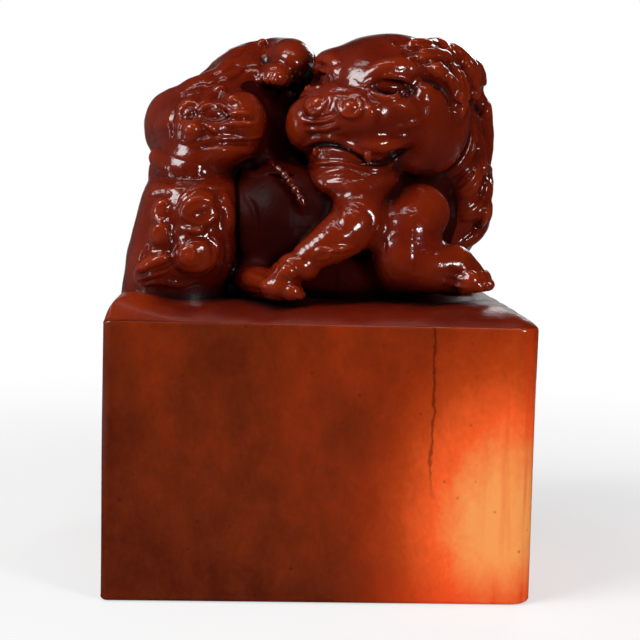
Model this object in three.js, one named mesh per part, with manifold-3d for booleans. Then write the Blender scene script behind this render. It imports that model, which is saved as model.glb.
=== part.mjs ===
// Seal stamp of carved stone: a square block with a plain seal face below, and on top a knob
// carved as a lioness with two cubs that climb at her side.
// Millimetres, +Z up, the origin at the middle of the seal face and the front towards -Y.
// The stone is one piece. Its carved members are divided here along the carver's own creases,
// with a fine seam between them.

import * as THREE from 'three';
import { mergeVertices } from 'three/addons/utils/BufferGeometryUtils.js';
import Module from 'manifold-3d';

const wasm = await Module();
wasm.setup();

// The block
const BLOCK_WIDTH = 45;
const BLOCK_DEPTH = 45;
const BLOCK_HEIGHT = 29.2;
const EDGE_RADIUS = 0.9;
const WORN_EDGE_RADIUS = 2.4;

// The knob, from the block's top to the lioness's brow
const KNOB_HEIGHT = 30.8;
const GROUND_RISE = 1.7;
const GROUND_LIP = 0.5;
const GROUND_SLOPE = 7;
const SEAM = 0.3;

// The animals' heads, from brow to chin
const LIONESS_HEAD = 18.6;
const UPPER_CUB_HEAD = 11.2;
const LOWER_CUB_HEAD = 14.2;
const MOUTH_OPENING = 1.5;
const FANG_LENGTH = 2.2;

// Bodies, legs and paws, each by its own width
const LIONESS_EAR = 4.6;
const LIONESS_BODY = 19;
const LIONESS_SHOULDER = 6.2;
const LIONESS_FORELEG = 5.6;
const LIONESS_HAUNCH = 14;
const LIONESS_PAW = 5.6;
const LIONESS_TOE = 2.1;
const LIONESS_TAIL = 6;
const CUB_BODY = 13;
const CUB_HAUNCH = 7.2;
const CUB_PAW = 3.6;
const CUB_TOE = 1.45;
const CUB_TAIL = 4;

// The mane's height, its locks, and the lower cub's spine
const MANE_HEIGHT = 24.8;
const LOCK_WIDTH = 4.2;
const LOCK_THICKNESS = 2.6;
const SPINE_BEAD = 1.3;
const SPINE_BEADS = 9;

// Stone colours, from the dark left side to the glowing lower right
const BLOCK_STONE = { color: 0xa8401c, roughness: 0.24, metalness: 0 };
const KNOB_STONE = { color: 0x7d2413, roughness: 0.2, metalness: 0 };
const DEEP_STONE = { color: 0x5c1a12, roughness: 0.24, metalness: 0 };

// The knob's own layout: X and Y as shares of the block's half sides, Z as a share of the
// knob's height
const at = (x, y, z) => [x * BLOCK_WIDTH / 2, y * BLOCK_DEPTH / 2, z * KNOB_HEIGHT];

const scaled = (size, shares) => shares.map((share) => share * size);

// A closed geometry as a solid that can be joined and cut
function solid(geometry) {
  geometry.deleteAttribute('normal');
  geometry.deleteAttribute('uv');
  const merged = mergeVertices(geometry.index ? geometry.toNonIndexed() : geometry, 1e-4);
  return new wasm.Manifold(new wasm.Mesh({
    numProp: 3,
    vertProperties: new Float32Array(merged.attributes.position.array),
    triVerts: new Uint32Array(merged.index.array),
  }));
}

function closed(points, faces) {
  const geometry = new THREE.BufferGeometry();
  const positions = points.flatMap((p) => p.toArray());
  geometry.setAttribute('position', new THREE.Float32BufferAttribute(positions, 3));
  geometry.setIndex(faces);
  return solid(geometry);
}

const join = (pieces) => pieces.reduce((sum, piece) => sum.add(piece));
const cut = (body, cutters) => cutters.reduce((rest, cutter) => rest.subtract(cutter), body);

// The largest of the bodies that a cut leaves
function mainBody(body) {
  return body.decompose().reduce((most, each) => (each.volume() > most.volume() ? each : most));
}

// An egg form: centre, half sizes along its own X, Y and Z, and the frame that turns and places it
function egg(centre, half, frame = new THREE.Matrix4(), grow = 0, fineness = 12) {
  const geometry = new THREE.SphereGeometry(1, fineness, Math.round(fineness * 0.6));
  geometry.rotateX(Math.PI / 2);
  geometry.scale(half[0] + grow, half[1] + grow, half[2] + grow);
  geometry.translate(...centre);
  geometry.applyMatrix4(frame);
  return solid(geometry);
}

// How a limb's domed end closes: how far along it each ring stands, and its share of the half width
const DOMES = [[0, 0.45], [0.35, 0.85]];
const BLUNT = [[0.2, 0.7]];

// A limb: round sections of given widths along a smooth path, closed by domed ends. flat is the
// section's thickness as a share of its width, measured along the direction press.
function limb(path, widths, options = {}) {
  const { grow = 0, sides = 8, steps = 5, flat = 1, press = [0, 0, 1], domes = DOMES } = options;
  const knots = path.map((p) => new THREE.Vector3(...p));
  const curve = new THREE.CatmullRomCurve3(knots, false, 'centripetal');
  const rings = [];
  const halfWidth = (t) => {
    const place = t * (widths.length - 1);
    const k = Math.min(Math.floor(place), widths.length - 2);
    return THREE.MathUtils.lerp(widths[k], widths[k + 1], place - k) / 2 + grow;
  };
  const start = curve.getPointAt(0);
  const end = curve.getPointAt(1);
  const first = curve.getTangentAt(0);
  const last = curve.getTangentAt(1);
  for (const [along, share] of domes) {
    const r = halfWidth(0);
    rings.push([start.clone().addScaledVector(first, -r * (0.9 - along)), first, r * share]);
  }
  for (let i = 0; i <= steps; i += 1) {
    const t = i / steps;
    rings.push([curve.getPointAt(t), curve.getTangentAt(t), halfWidth(t)]);
  }
  for (const [along, share] of [...domes].reverse()) {
    const r = halfWidth(1);
    rings.push([end.clone().addScaledVector(last, r * (0.9 - along)), last, r * share]);
  }
  const pressed = new THREE.Vector3(...press).normalize();
  const points = [];
  for (const [centre, tangent, r] of rings) {
    const up = pressed.clone().addScaledVector(tangent, -pressed.dot(tangent));
    if (up.lengthSq() < 0.02) up.set(tangent.y, tangent.z, tangent.x).cross(tangent);
    up.normalize();
    const side = new THREE.Vector3().crossVectors(tangent, up);
    for (let j = 0; j < sides; j += 1) {
      const a = 2 * Math.PI * j / sides;
      const across = side.clone().multiplyScalar(r * Math.cos(a));
      points.push(centre.clone().add(across).addScaledVector(up, r * flat * Math.sin(a)));
    }
  }
  const tipA = start.clone().addScaledVector(first, -halfWidth(0));
  const tipB = end.clone().addScaledVector(last, halfWidth(1));
  points.push(tipA, tipB);
  const faces = [];
  const a = points.length - 2;
  for (let j = 0; j < sides; j += 1) {
    const k = (j + 1) % sides;
    faces.push(a, j, k);
    for (let i = 0; i + 1 < rings.length; i += 1) {
      const p = i * sides;
      faces.push(p + j, p + sides + k, p + k, p + j, p + sides + j, p + sides + k);
    }
    const q = (rings.length - 1) * sides;
    faces.push(a + 1, q + k, q + j);
  }
  return closed(points, faces);
}

// The lioness's head in its own frame: X along the snout, Y to her left, Z up, all as shares of
// its height. With grow it is the same outer form made larger, to cut the neighbours.
function lionessHead(grow = 0) {
  const [roll, pitch, yaw] = [-5, 12, -125].map(THREE.MathUtils.degToRad);
  const frame = new THREE.Matrix4().makeRotationFromEuler(new THREE.Euler(roll, pitch, yaw, 'ZYX'));
  frame.setPosition(...at(0.31, -0.2, 0.727));
  const form = (centre, half, fineness = 9) => egg(
    scaled(LIONESS_HEAD, centre), scaled(LIONESS_HEAD, half), frame, grow, fineness);
  const pair = ([x, y, z], half, fineness) => [y, -y].map((side) => form([x, side, z], half, fineness));
  const skull = [
    form([-0.06, 0, 0.1], [0.43, 0.4, 0.33], 11),
    form([0.02, 0, 0.23], [0.38, 0.37, 0.185], 10),
    form([-0.03, 0, -0.26], [0.25, 0.3, 0.23]),
    ...pair([-0.08, 0.27, -0.07], [0.33, 0.22, 0.33], 10),
  ];
  const face = [
    form([0.37, 0, 0.03], [0.25, 0.31, 0.2], 10),
    form([0.31, 0, -0.375], [0.32, 0.29, 0.155]),
    ...pair([0.15, 0.2, 0], [0.28, 0.24, 0.2], 10),
    ...pair([0.34, 0.17, -0.11], [0.2, 0.17, 0.09], 8),
  ];
  const browsEyesAndNostrils = [
    ...pair([0.27, 0.22, 0.2], [0.12, 0.17, 0.08], 7),
    ...pair([0.34, 0.24, 0.11], [0.07, 0.11, 0.06], 7),
    ...pair([0.55, 0.14, 0.04], [0.07, 0.075, 0.06], 6),
  ];
  const farBrow = egg(at(0.035, -0.2, 0.87), scaled(LIONESS_HEAD, [0.1, 0.13, 0.1]), undefined, grow, 6);
  const outer = join([...skull, ...face, ...browsEyesAndNostrils, farBrow]);
  if (grow) return outer;
  const mouth = form([0.52, 0, -0.215], [0.36, 0.34, MOUTH_OPENING / LIONESS_HEAD / 2]);
  const fangs = [-1, 1].map((side) => {
    const cone = new THREE.ConeGeometry(FANG_LENGTH * 0.35, FANG_LENGTH * 1.4, 5);
    cone.rotateX(-Math.PI / 2);
    cone.translate(...scaled(LIONESS_HEAD, [0.46, side * 0.17, -0.18]));
    cone.applyMatrix4(frame);
    return solid(cone);
  });
  return join([outer.subtract(mouth), ...fangs]);
}

// A paw: a domed back with four toes set side by side at its front
function paw(centre, heading, width, toe, grow = 0) {
  const frame = new THREE.Matrix4().makeRotationZ(THREE.MathUtils.degToRad(heading)).setPosition(...centre);
  const back = egg([-width * 0.25, 0, 0], [width * 0.62, width * 0.5, width * 0.42], frame, grow, 8);
  const toes = [-1.5, -0.5, 0.5, 1.5].map((place) => egg(
    [width * 0.3 - Math.abs(place) * toe * 0.12, place * width / 4.6, -width * 0.1],
    [toe * 0.85, toe * 0.5, toe * 0.62], frame, grow, 5));
  return join([back, ...toes]);
}

// Where a lock of hair swings to, as shares of its sway, at shares of its way down
const LOCK_SWING = [[-1, 0], [0.3, 0.35], [0.9, 0.7], [0.1, 0.97]];

// Locks of hair laid over an egg form, from its crown downwards
function locks(centre, half, { from, to, count, high, low, sway, grow }) {
  const onEgg = (azimuth, height) => {
    const a = THREE.MathUtils.degToRad(azimuth);
    const b = THREE.MathUtils.degToRad(height);
    const out = [Math.cos(b) * Math.cos(a), Math.cos(b) * Math.sin(a), Math.sin(b)];
    return out.map((share, k) => centre[k] + half[k] * share);
  };
  return Array.from({ length: count }, (_, i) => {
    const azimuth = THREE.MathUtils.lerp(from, to, i / (count - 1));
    const path = LOCK_SWING.map(([across, along]) => onEgg(
      azimuth + sway * across, THREE.MathUtils.lerp(high, low, along)));
    const press = onEgg(azimuth, (high + low) / 2).map((v, k) => v - centre[k]);
    return limb(path, scaled(LOCK_WIDTH, [0.6, 1, 1, 0.6]),
      { grow, sides: 5, steps: 3, flat: LOCK_THICKNESS / LOCK_WIDTH, press, domes: BLUNT });
  });
}

// The block's outline, with one worn corner at the front right
function blockOutline(inset = 0) {
  const x = BLOCK_WIDTH / 2 - inset;
  const y = BLOCK_DEPTH / 2 - inset;
  const shape = new THREE.Shape();
  const corners = [[1, -1], [1, 1], [-1, 1], [-1, -1]];
  corners.forEach(([sideX, sideY], i) => {
    const radius = i ? EDGE_RADIUS : WORN_EDGE_RADIUS;
    const start = (i - 1) * Math.PI / 2;
    shape.absarc(sideX * (x - radius), sideY * (y - radius), radius, start, start + Math.PI / 2);
  });
  return shape;
}

function block() {
  const extrusion = { depth: BLOCK_HEIGHT, bevelEnabled: false, curveSegments: 2 };
  return solid(new THREE.ExtrudeGeometry(blockOutline(), extrusion));
}

// The carved ground: the block's outline domed up in rings towards the middle
function ground(grow = 0) {
  const slope = [[0.17, 0.55], [0.46, 0.85], [1, 1]];
  const rings = [[0, 0], [0, GROUND_LIP], ...slope.map(([inward, upward]) => [
    inward * GROUND_SLOPE, THREE.MathUtils.lerp(GROUND_LIP, GROUND_RISE, upward)])];
  const count = blockOutline().getPoints(2).length;
  const points = rings.flatMap(([inset, height]) => blockOutline(inset).getPoints(2).slice(0, count - 1)
    .map((p) => new THREE.Vector3(p.x, p.y, height + (height ? grow : 0))));
  const sides = count - 1;
  const faces = [];
  for (let i = 0; i + 1 < rings.length; i += 1) {
    for (let j = 0; j < sides; j += 1) {
      const k = (j + 1) % sides;
      const p = i * sides;
      faces.push(p + j, p + k, p + sides + k, p + j, p + sides + k, p + sides + j);
    }
  }
  points.push(new THREE.Vector3(0, 0, 0), new THREE.Vector3(0, 0, GROUND_RISE + grow));
  const top = (rings.length - 1) * sides;
  for (let j = 0; j < sides; j += 1) {
    const k = (j + 1) % sides;
    faces.push(points.length - 2, k, j, points.length - 1, top + j, top + k);
  }
  return closed(points, faces);
}

// The members. Each is a function of grow, so that the same form, a seam larger, cuts its
// neighbours. The lioness first, then the cubs.
const upperCubHead = (grow = 0) => join([
  egg(at(-0.581, -0.267, 0.634), scaled(UPPER_CUB_HEAD, [0.57, 0.625, 0.385]), undefined, grow, 13),
  egg(at(-0.737, -0.178, 0.639), scaled(UPPER_CUB_HEAD, [0.28, 0.45, 0.32]), undefined, grow, 11),
  egg(at(-0.419, -0.333, 0.658), scaled(UPPER_CUB_HEAD, [0.285, 0.45, 0.34]), undefined, grow, 11),
  egg(at(-0.563, -0.356, 0.57), scaled(UPPER_CUB_HEAD, [0.375, 0.5, 0.18]), undefined, grow, 10),
  egg(at(-0.51, -0.48, 0.72), scaled(UPPER_CUB_HEAD, [0.15, 0.08, 0.06]), undefined, grow, 6),
  egg(at(-0.61, -0.58, 0.618), scaled(UPPER_CUB_HEAD, [0.13, 0.1, 0.13]), undefined, grow, 6),
]);

// The lower cub's head is drawn upright against the lioness's side, with its eye, temple and
// whisker pad as domes on it
const lowerCubHead = (grow = 0) => join([
  limb(
    [at(-0.616, -0.422, 0.45), at(-0.63, -0.489, 0.335), at(-0.65, -0.511, 0.23), at(-0.684, -0.489, 0.141),
      at(-0.7, -0.489, 0.042)],
    scaled(LOWER_CUB_HEAD, [0.66, 0.79, 0.83, 0.8, 0.8]),
    { grow, sides: 13, steps: 6, press: [0, 1, 0] },
  ),
  egg(at(-0.684, -0.311, 0.483), scaled(LOWER_CUB_HEAD, [0.24, 0.42, 0.21]), undefined, grow, 11),
  egg(at(-0.759, -0.533, 0.17), scaled(LOWER_CUB_HEAD, [0.24, 0.4, 0.225]), undefined, grow, 10),
  egg(at(-0.571, -0.719, 0.362), scaled(LOWER_CUB_HEAD, [0.155, 0.07, 0.14]), undefined, grow, 8),
  egg(at(-0.466, -0.635, 0.329), scaled(LOWER_CUB_HEAD, [0.113, 0.085, 0.17]), undefined, grow, 7),
  egg(at(-0.589, -0.763, 0.203), scaled(LOWER_CUB_HEAD, [0.176, 0.106, 0.162]), undefined, grow, 8),
]);

// The mane: the mass of hair behind the head, with a fuller lower part and a fuller front edge
// under the locks
function mane(grow = 0) {
  const centre = at(0.46, 0.15, 0.6);
  const half = scaled(MANE_HEIGHT, [0.367, 0.323, 0.5]);
  const front = [
    [at(0.72, -0.07, 0.715), at(0.745, -0.085, 0.644), at(0.725, -0.115, 0.571), at(0.665, -0.135, 0.513)],
    [at(0.775, -0.02, 0.672), at(0.805, 0, 0.588), at(0.79, -0.012, 0.507), at(0.72, -0.06, 0.44)],
    [at(0.82, 0.04, 0.558), at(0.84, 0.08, 0.463), at(0.81, 0.07, 0.39), at(0.74, -0.01, 0.34)],
    [at(0.84, 0.12, 0.395), at(0.82, 0.05, 0.325), at(0.76, 0, 0.263), at(0.7, -0.04, 0.23)],
  ];
  return join([
    egg(centre, half, undefined, grow, 12),
    egg(at(0.52, 0.12, 0.3), scaled(MANE_HEIGHT, [0.3, 0.25, 0.242]), undefined, grow, 9),
    egg(at(0.74, 0.03, 0.43), scaled(MANE_HEIGHT, [0.1, 0.14, 0.24]), undefined, grow, 9),
    ...front.map((path) => limb(path, scaled(LOCK_WIDTH, [0.5, 0.7, 0.7, 0.5]),
      { grow, sides: 5, steps: 3, domes: BLUNT })),
    ...locks(centre, half, { from: 2, to: 190, count: 5, high: 68, low: 10, sway: 11, grow }),
    ...locks(centre, half, { from: -2, to: 170, count: 5, high: 38, low: -18, sway: 12, grow }),
    ...locks(centre, half, { from: 26, to: 140, count: 4, high: 12, low: -44, sway: -12, grow }),
  ]);
}

const ear = (grow = 0) => join([
  limb([at(0.659, -0.089, 0.914), at(0.728, -0.044, 0.866), at(0.764, 0.044, 0.781)],
    scaled(LIONESS_EAR, [0.83, 0.87, 0.65]), { grow, steps: 3 }),
  limb([at(0.62, 0, 0.9), at(0.76, 0.08, 0.86), at(0.8, 0.14, 0.74)],
    scaled(LIONESS_EAR, [1, 0.96, 0.65]), { grow, steps: 3 }),
  limb([at(0.54, -0.2, 0.92), at(0.64, -0.17, 0.92)],
    scaled(LIONESS_EAR, [0.6, 0.7]), { grow, steps: 2, sides: 7 }),
]);

const body = (grow = 0) => join([
  limb([at(0.28, -0.12, 0.32), at(0.3, 0.13, 0.36), at(0.3, 0.46, 0.31)],
    scaled(LIONESS_BODY, [0.695, 0.97, 0.95]), { grow, sides: 8, steps: 3 }),
  egg(at(0.22, -0.34, 0.33), scaled(LIONESS_BODY, [0.23, 0.24, 0.316]), undefined, grow, 8),
  egg(at(0.14, -0.42, 0.12), scaled(LIONESS_BODY, [0.37, 0.21, 0.18]), undefined, grow, 8),
]);

const leftForeleg = (grow = 0) => join([
  limb([at(0.21, -0.533, 0.392), at(0.163, -0.644, 0.328), at(0.057, -0.711, 0.267), at(-0.07, -0.756, 0.21)],
    scaled(LIONESS_FORELEG, [0.82, 0.91, 0.71, 0.57]), { grow, sides: 8, steps: 5 }),
  paw(at(-0.139, -0.773, 0.175), -163, LIONESS_PAW * 0.7, LIONESS_TOE * 0.71, grow),
]);

const rightUpperForeleg = (grow = 0) => limb(
  [at(0.484, -0.467, 0.36), at(0.424, -0.556, 0.302), at(0.364, -0.622, 0.22)],
  scaled(LIONESS_SHOULDER, [1, 1, 0.8]),
  { grow, sides: 10, steps: 3 },
);

const rightForepaw = (grow = 0) => join([
  limb([at(0.361, -0.578, 0.147), at(0.5, -0.622, 0.17), at(0.63, -0.6, 0.17)],
    scaled(LIONESS_FORELEG, [0.86, 1, 0.95]), { grow, sides: 8, steps: 3 }),
  paw(at(0.685, -0.578, 0.155), 4, LIONESS_PAW, LIONESS_TOE, grow),
]);

const rightHaunch = (grow = 0) => egg(at(0.6, 0.54, 0.29), scaled(LIONESS_HAUNCH, [0.44, 0.5, 0.54]),
  undefined, grow, 12);

const leftHaunch = (grow = 0) => egg(at(-0.02, 0.66, 0.26), scaled(LIONESS_HAUNCH, [0.44, 0.4, 0.5]),
  undefined, grow, 12);

const rightHindPaw = (grow = 0) => join([
  limb([at(0.66, 0.4, 0.1), at(0.7, 0.16, 0.1)], scaled(LIONESS_PAW, [0.91, 0.86]), { grow, steps: 2 }),
  paw(at(0.7, 0.06, 0.1), -90, LIONESS_PAW, LIONESS_TOE, grow),
]);

const tail = (grow = 0) => limb(
  [at(0.32, 0.84, 0.16), at(0.42, 0.86, 0.36), at(0.3, 0.72, 0.54), at(0.06, 0.6, 0.6), at(-0.1, 0.66, 0.5)],
  scaled(LIONESS_TAIL, [0.7, 0.9, 1.1, 1.1, 0.5]),
  { grow, sides: 7, steps: 8, flat: 0.75, press: [0, 1, 0.5] },
);

const upperCubBody = (grow = 0) => limb([at(-0.42, -0.1, 0.6), at(-0.36, 0.2, 0.62), at(-0.3, 0.46, 0.47)],
  scaled(CUB_BODY, [0.9, 1.1, 1]), { grow, sides: 10, steps: 4 });

const upperCubShoulder = (grow = 0) => join([
  limb([at(-0.659, -0.178, 0.68), at(-0.496, 0, 0.778), at(-0.356, 0.133, 0.855), at(-0.211, 0.222, 0.873)],
    scaled(CUB_HAUNCH, [0.8, 0.875, 0.945, 1]), { grow, sides: 9, steps: 4 }),
  limb([at(-0.735, -0.244, 0.687), at(-0.608, -0.267, 0.731), at(-0.473, -0.178, 0.778), at(-0.387, 0, 0.85)],
    scaled(CUB_HAUNCH, [0.58, 0.69, 0.72, 0.72]), { grow, sides: 8, steps: 4 }),
]);

const upperCubHaunch = (grow = 0) => join([
  egg(at(-0.153, 0.044, 0.882), scaled(CUB_HAUNCH, [0.43, 0.72, 0.43]), undefined, grow, 11),
  limb([at(-0.146, 0.044, 0.83), at(-0.147, 0.089, 0.72)], scaled(CUB_HAUNCH, [0.83, 0.89]),
    { grow, sides: 9, steps: 2 }),
  paw(at(-0.232, -0.16, 0.84), -128, CUB_PAW, CUB_TOE, grow),
]);

const upperCubForeleg = (grow = 0) => limb(
  [at(-0.79, -0.49, 0.54), at(-0.74, -0.59, 0.505), at(-0.685, -0.65, 0.49), at(-0.62, -0.675, 0.49)],
  scaled(CUB_PAW, [0.78, 0.83, 0.83, 0.72]),
  { grow, steps: 4 },
);

const lowerCubBody = (grow = 0) => limb(
  [at(-0.18, -0.38, 0.3), at(-0.24, -0.1, 0.31), at(-0.3, 0.15, 0.3), at(-0.44, 0.5, 0.24)],
  scaled(CUB_BODY, [1.08, 1.12, 1.1, 1]),
  { grow, sides: 10, steps: 4 },
);

const lowerCubHindFoot = (grow = 0) => join([
  limb([at(-0.337, -0.578, 0.116), at(-0.271, -0.711, 0.111), at(-0.216, -0.778, 0.105)],
    scaled(CUB_PAW, [1.05, 0.94, 0.83]), { grow, steps: 3 }),
  paw(at(-0.179, -0.8, 0.104), -6, CUB_PAW, CUB_TOE, grow),
]);

const lowerCubTail = (grow = 0) => limb([at(-0.62, 0.66, 0.16), at(-0.72, 0.5, 0.3), at(-0.7, 0.28, 0.42)],
  scaled(CUB_TAIL, [1, 1.1, 0.7]), { grow, steps: 5, flat: 0.8, press: [1, 0, 0.3] });

// The beaded spine of the lower cub, in an arch over its back: one limb that swells at each bead
function spine(grow = 0) {
  const arch = [
    at(-0.398, 0.043, 0.515),
    at(-0.308, -0.195, 0.525),
    at(-0.242, -0.436, 0.51),
    at(-0.185, -0.55, 0.478),
    at(-0.138, -0.607, 0.437),
    at(-0.095, -0.645, 0.38),
  ];
  const swell = Array.from({ length: 2 * SPINE_BEADS + 1 }, (_, i) => (i % 2 ? 1 : 0.65) * SPINE_BEAD);
  return limb(arch, swell, { grow, sides: 5, steps: 2 * SPINE_BEADS, domes: BLUNT });
}

// In order: each member is cut by the ones above it that it meets, so the earlier keeps its form
const members = [
  ['lioness_head', lionessHead, KNOB_STONE],
  ['upper_cub_head', upperCubHead, KNOB_STONE],
  ['lower_cub_head', lowerCubHead, KNOB_STONE],
  ['lioness_left_foreleg', leftForeleg, KNOB_STONE],
  ['lioness_right_forepaw', rightForepaw, KNOB_STONE],
  ['lioness_right_upper_foreleg', rightUpperForeleg, KNOB_STONE],
  ['lower_cub_hind_foot', lowerCubHindFoot, KNOB_STONE],
  ['lower_cub_spine', spine, DEEP_STONE],
  ['upper_cub_foreleg', upperCubForeleg, DEEP_STONE],
  ['upper_cub_haunch', upperCubHaunch, KNOB_STONE],
  ['upper_cub_shoulder', upperCubShoulder, KNOB_STONE],
  ['lioness_ear', ear, KNOB_STONE],
  ['lioness_mane', mane, KNOB_STONE],
  ['lioness_right_hind_paw', rightHindPaw, KNOB_STONE],
  ['lioness_right_haunch', rightHaunch, KNOB_STONE],
  ['lioness_tail', tail, KNOB_STONE],
  ['lower_cub_tail', lowerCubTail, DEEP_STONE],
  ['lower_cub_body', lowerCubBody, DEEP_STONE],
  ['upper_cub_body', upperCubBody, DEEP_STONE],
  ['lioness_left_haunch', leftHaunch, DEEP_STONE],
  ['lioness_body', body, DEEP_STONE],
];

function mesh(name, body, finish) {
  const { numProp, vertProperties, triVerts } = body.getMesh();
  const positions = new Float32Array(triVerts.length * 3);
  triVerts.forEach((v, i) => positions.set(vertProperties.subarray(v * numProp, v * numProp + 3), i * 3));
  const geometry = new THREE.BufferGeometry();
  geometry.setAttribute('position', new THREE.BufferAttribute(positions, 3));
  geometry.computeVertexNormals();
  const made = new THREE.Mesh(geometry, new THREE.MeshStandardMaterial(finish));
  made.name = name;
  return made;
}

const knob = new THREE.Group();
knob.position.z = BLOCK_HEIGHT;
knob.add(mesh('carved_ground', ground(), KNOB_STONE));

const groundCutter = ground(SEAM);
const cutters = [];
for (const [name, form, finish] of members) {
  const own = form();
  const near = cutters.filter((cutter) => !own.intersect(cutter).isEmpty());
  knob.add(mesh(name, mainBody(cut(own, [groundCutter, ...near])), finish));
  cutters.push(form(SEAM));
}

const sealStamp = new THREE.Group();
sealStamp.add(mesh('seal_block', block(), BLOCK_STONE), knob);

export default sealStamp;
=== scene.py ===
"""Seal stamp of polished soapstone: a square block with a plain face, and on it a knob carved as
a lioness with two cubs.

Lengths in this file are millimetres, and become metres where a mesh is made. The carved members
are worked like clay: a signed distance on a lattice (negative inside the stone), to which forms
are added and from which grooves are cut, and whose zero surface becomes the mesh.
"""
import math

import bpy
import numpy as np
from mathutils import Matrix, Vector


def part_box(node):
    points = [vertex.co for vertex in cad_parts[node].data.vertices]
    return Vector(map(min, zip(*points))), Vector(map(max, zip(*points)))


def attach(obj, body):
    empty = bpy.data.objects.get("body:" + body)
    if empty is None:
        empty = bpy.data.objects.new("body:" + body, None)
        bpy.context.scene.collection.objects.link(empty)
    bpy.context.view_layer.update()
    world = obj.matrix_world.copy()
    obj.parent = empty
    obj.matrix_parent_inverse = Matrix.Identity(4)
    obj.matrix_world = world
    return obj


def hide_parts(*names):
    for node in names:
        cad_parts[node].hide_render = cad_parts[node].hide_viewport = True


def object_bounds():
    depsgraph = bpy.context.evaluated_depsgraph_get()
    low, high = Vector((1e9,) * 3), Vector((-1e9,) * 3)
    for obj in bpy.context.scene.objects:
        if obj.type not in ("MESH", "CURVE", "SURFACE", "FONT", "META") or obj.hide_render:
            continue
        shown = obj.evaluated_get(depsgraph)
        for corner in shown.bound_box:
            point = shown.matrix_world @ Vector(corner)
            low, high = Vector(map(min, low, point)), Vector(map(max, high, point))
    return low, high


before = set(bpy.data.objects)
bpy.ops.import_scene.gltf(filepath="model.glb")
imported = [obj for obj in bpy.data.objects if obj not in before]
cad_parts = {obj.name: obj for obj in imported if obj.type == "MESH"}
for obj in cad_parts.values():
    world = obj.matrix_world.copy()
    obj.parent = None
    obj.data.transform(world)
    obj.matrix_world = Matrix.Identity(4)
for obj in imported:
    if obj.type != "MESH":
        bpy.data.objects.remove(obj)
CAD_BOX = [list(corner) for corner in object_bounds()]

bl_info = {
    "name": "Carved Seal Stamp",
    "version": (1, 0, 0),
    "blender": (4, 5, 0),
    "location": "View3D > Sidebar > Seal Stamp",
    "description": "Dresses the packed seal stamp with its carving, stone and stage",
    "category": "Object",
}

MM = 0.001
IMAGE_SIZE = 640

# The camera, fitted to the block's corners: place in mm, angles in radians, focal length in pixels
CAMERA_PLACE = np.array([-8.0369, -184.1174, 46.3406])
CAMERA_YAW = 0.0472
CAMERA_PITCH = 0.1032
CAMERA_ROLL = -0.0242
CAMERA_FOCUS = 1596.675
SENSOR_WIDTH = 36.0

# The lattice's pitch, and the distance at which a form no longer counts
PITCH = 0.17
FAR = 2.4

# The least island of a member's surface that is kept, in mm2, and the most triangles of a piece
CRUMB = 8.0
MOST_TRIANGLES = 190_000

# The points round the block's outline, and round the floor
OUTLINE_POINTS = 480
FLOOR_POINTS = 96
FLOOR_RADIUS = 170

# The eight corners of a lattice cell
CORNERS = np.array([[c & 1, c >> 1 & 1, c >> 2 & 1] for c in range(8)])


def camera_axes():
    """Right, up and forward of the fitted camera as unit vectors."""
    cy, sy = math.cos(CAMERA_YAW), math.sin(CAMERA_YAW)
    cp, sp = math.cos(CAMERA_PITCH), math.sin(CAMERA_PITCH)
    cr, sr = math.cos(CAMERA_ROLL), math.sin(CAMERA_ROLL)
    forward = np.array([sy * cp, cy * cp, -sp])
    level = np.array([cy, -sy, 0.0])
    above = np.cross(level, forward)
    return cr * level - sr * above, sr * level + cr * above, forward


def block_size():
    """Width, depth and height of the block in mm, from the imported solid."""
    low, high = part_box("seal_block")
    return [(b - a) / MM for a, b in zip(low, high)]


BLOCK = block_size()
TOP = BLOCK[2]
KNOB = max(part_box(name)[1].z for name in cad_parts) / MM - TOP


def at(x, y, z):
    """A place on the knob: shares of the block's half width and half depth and of the knob's height."""
    return np.array([x * BLOCK[0] / 2, y * BLOCK[1] / 2, TOP + z * KNOB])


def px(u, v, y):
    """The place at depth y that the camera sees at a pixel."""
    right, up, forward = camera_axes()
    ray = forward + ((u - IMAGE_SIZE / 2) * right - (v - IMAGE_SIZE / 2) * up) / CAMERA_FOCUS
    return CAMERA_PLACE + ray * (y - CAMERA_PLACE[1]) / ray[1]


# Curves and turns


def spline(points, count):
    """Catmull-Rom curve through the points, as count points evenly spread over its parameter:
    p(t) = (2 b + (c - a) t + (2 a - 5 b + 4 c - d) t^2 + (3 b - a - 3 c + d) t^3) / 2."""
    p = np.asarray(points, float)
    if len(p) < 3:
        t = np.linspace(0, 1, count)[:, None]
        return p[0] * (1 - t) + p[-1] * t
    p = np.vstack([2 * p[0] - p[1], p, 2 * p[-1] - p[-2]])
    s = np.linspace(0, len(p) - 3, count)
    i = np.minimum(s.astype(int), len(p) - 4)
    t = (s - i)[:, None]
    a, b, c, d = p[i], p[i + 1], p[i + 2], p[i + 3]
    return (2 * b + (c - a) * t + (2 * a - 5 * b + 4 * c - d) * t ** 2
            + (3 * b - a - 3 * c + d) * t ** 3) / 2


def turned(yaw, pitch=0.0, roll=0.0):
    """Rotation Rz(yaw) Ry(pitch) Rx(roll), in degrees, as a 3 by 3 matrix."""
    a, b, c = (math.radians(v) for v in (yaw, pitch, roll))
    rz = np.array([[math.cos(a), -math.sin(a), 0], [math.sin(a), math.cos(a), 0], [0, 0, 1]])
    ry = np.array([[math.cos(b), 0, math.sin(b)], [0, 1, 0], [-math.sin(b), 0, math.cos(b)]])
    rx = np.array([[1, 0, 0], [0, math.cos(c), -math.sin(c)], [0, math.sin(c), math.cos(c)]])
    return rz @ ry @ rx


UPRIGHT = np.eye(3)


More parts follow.
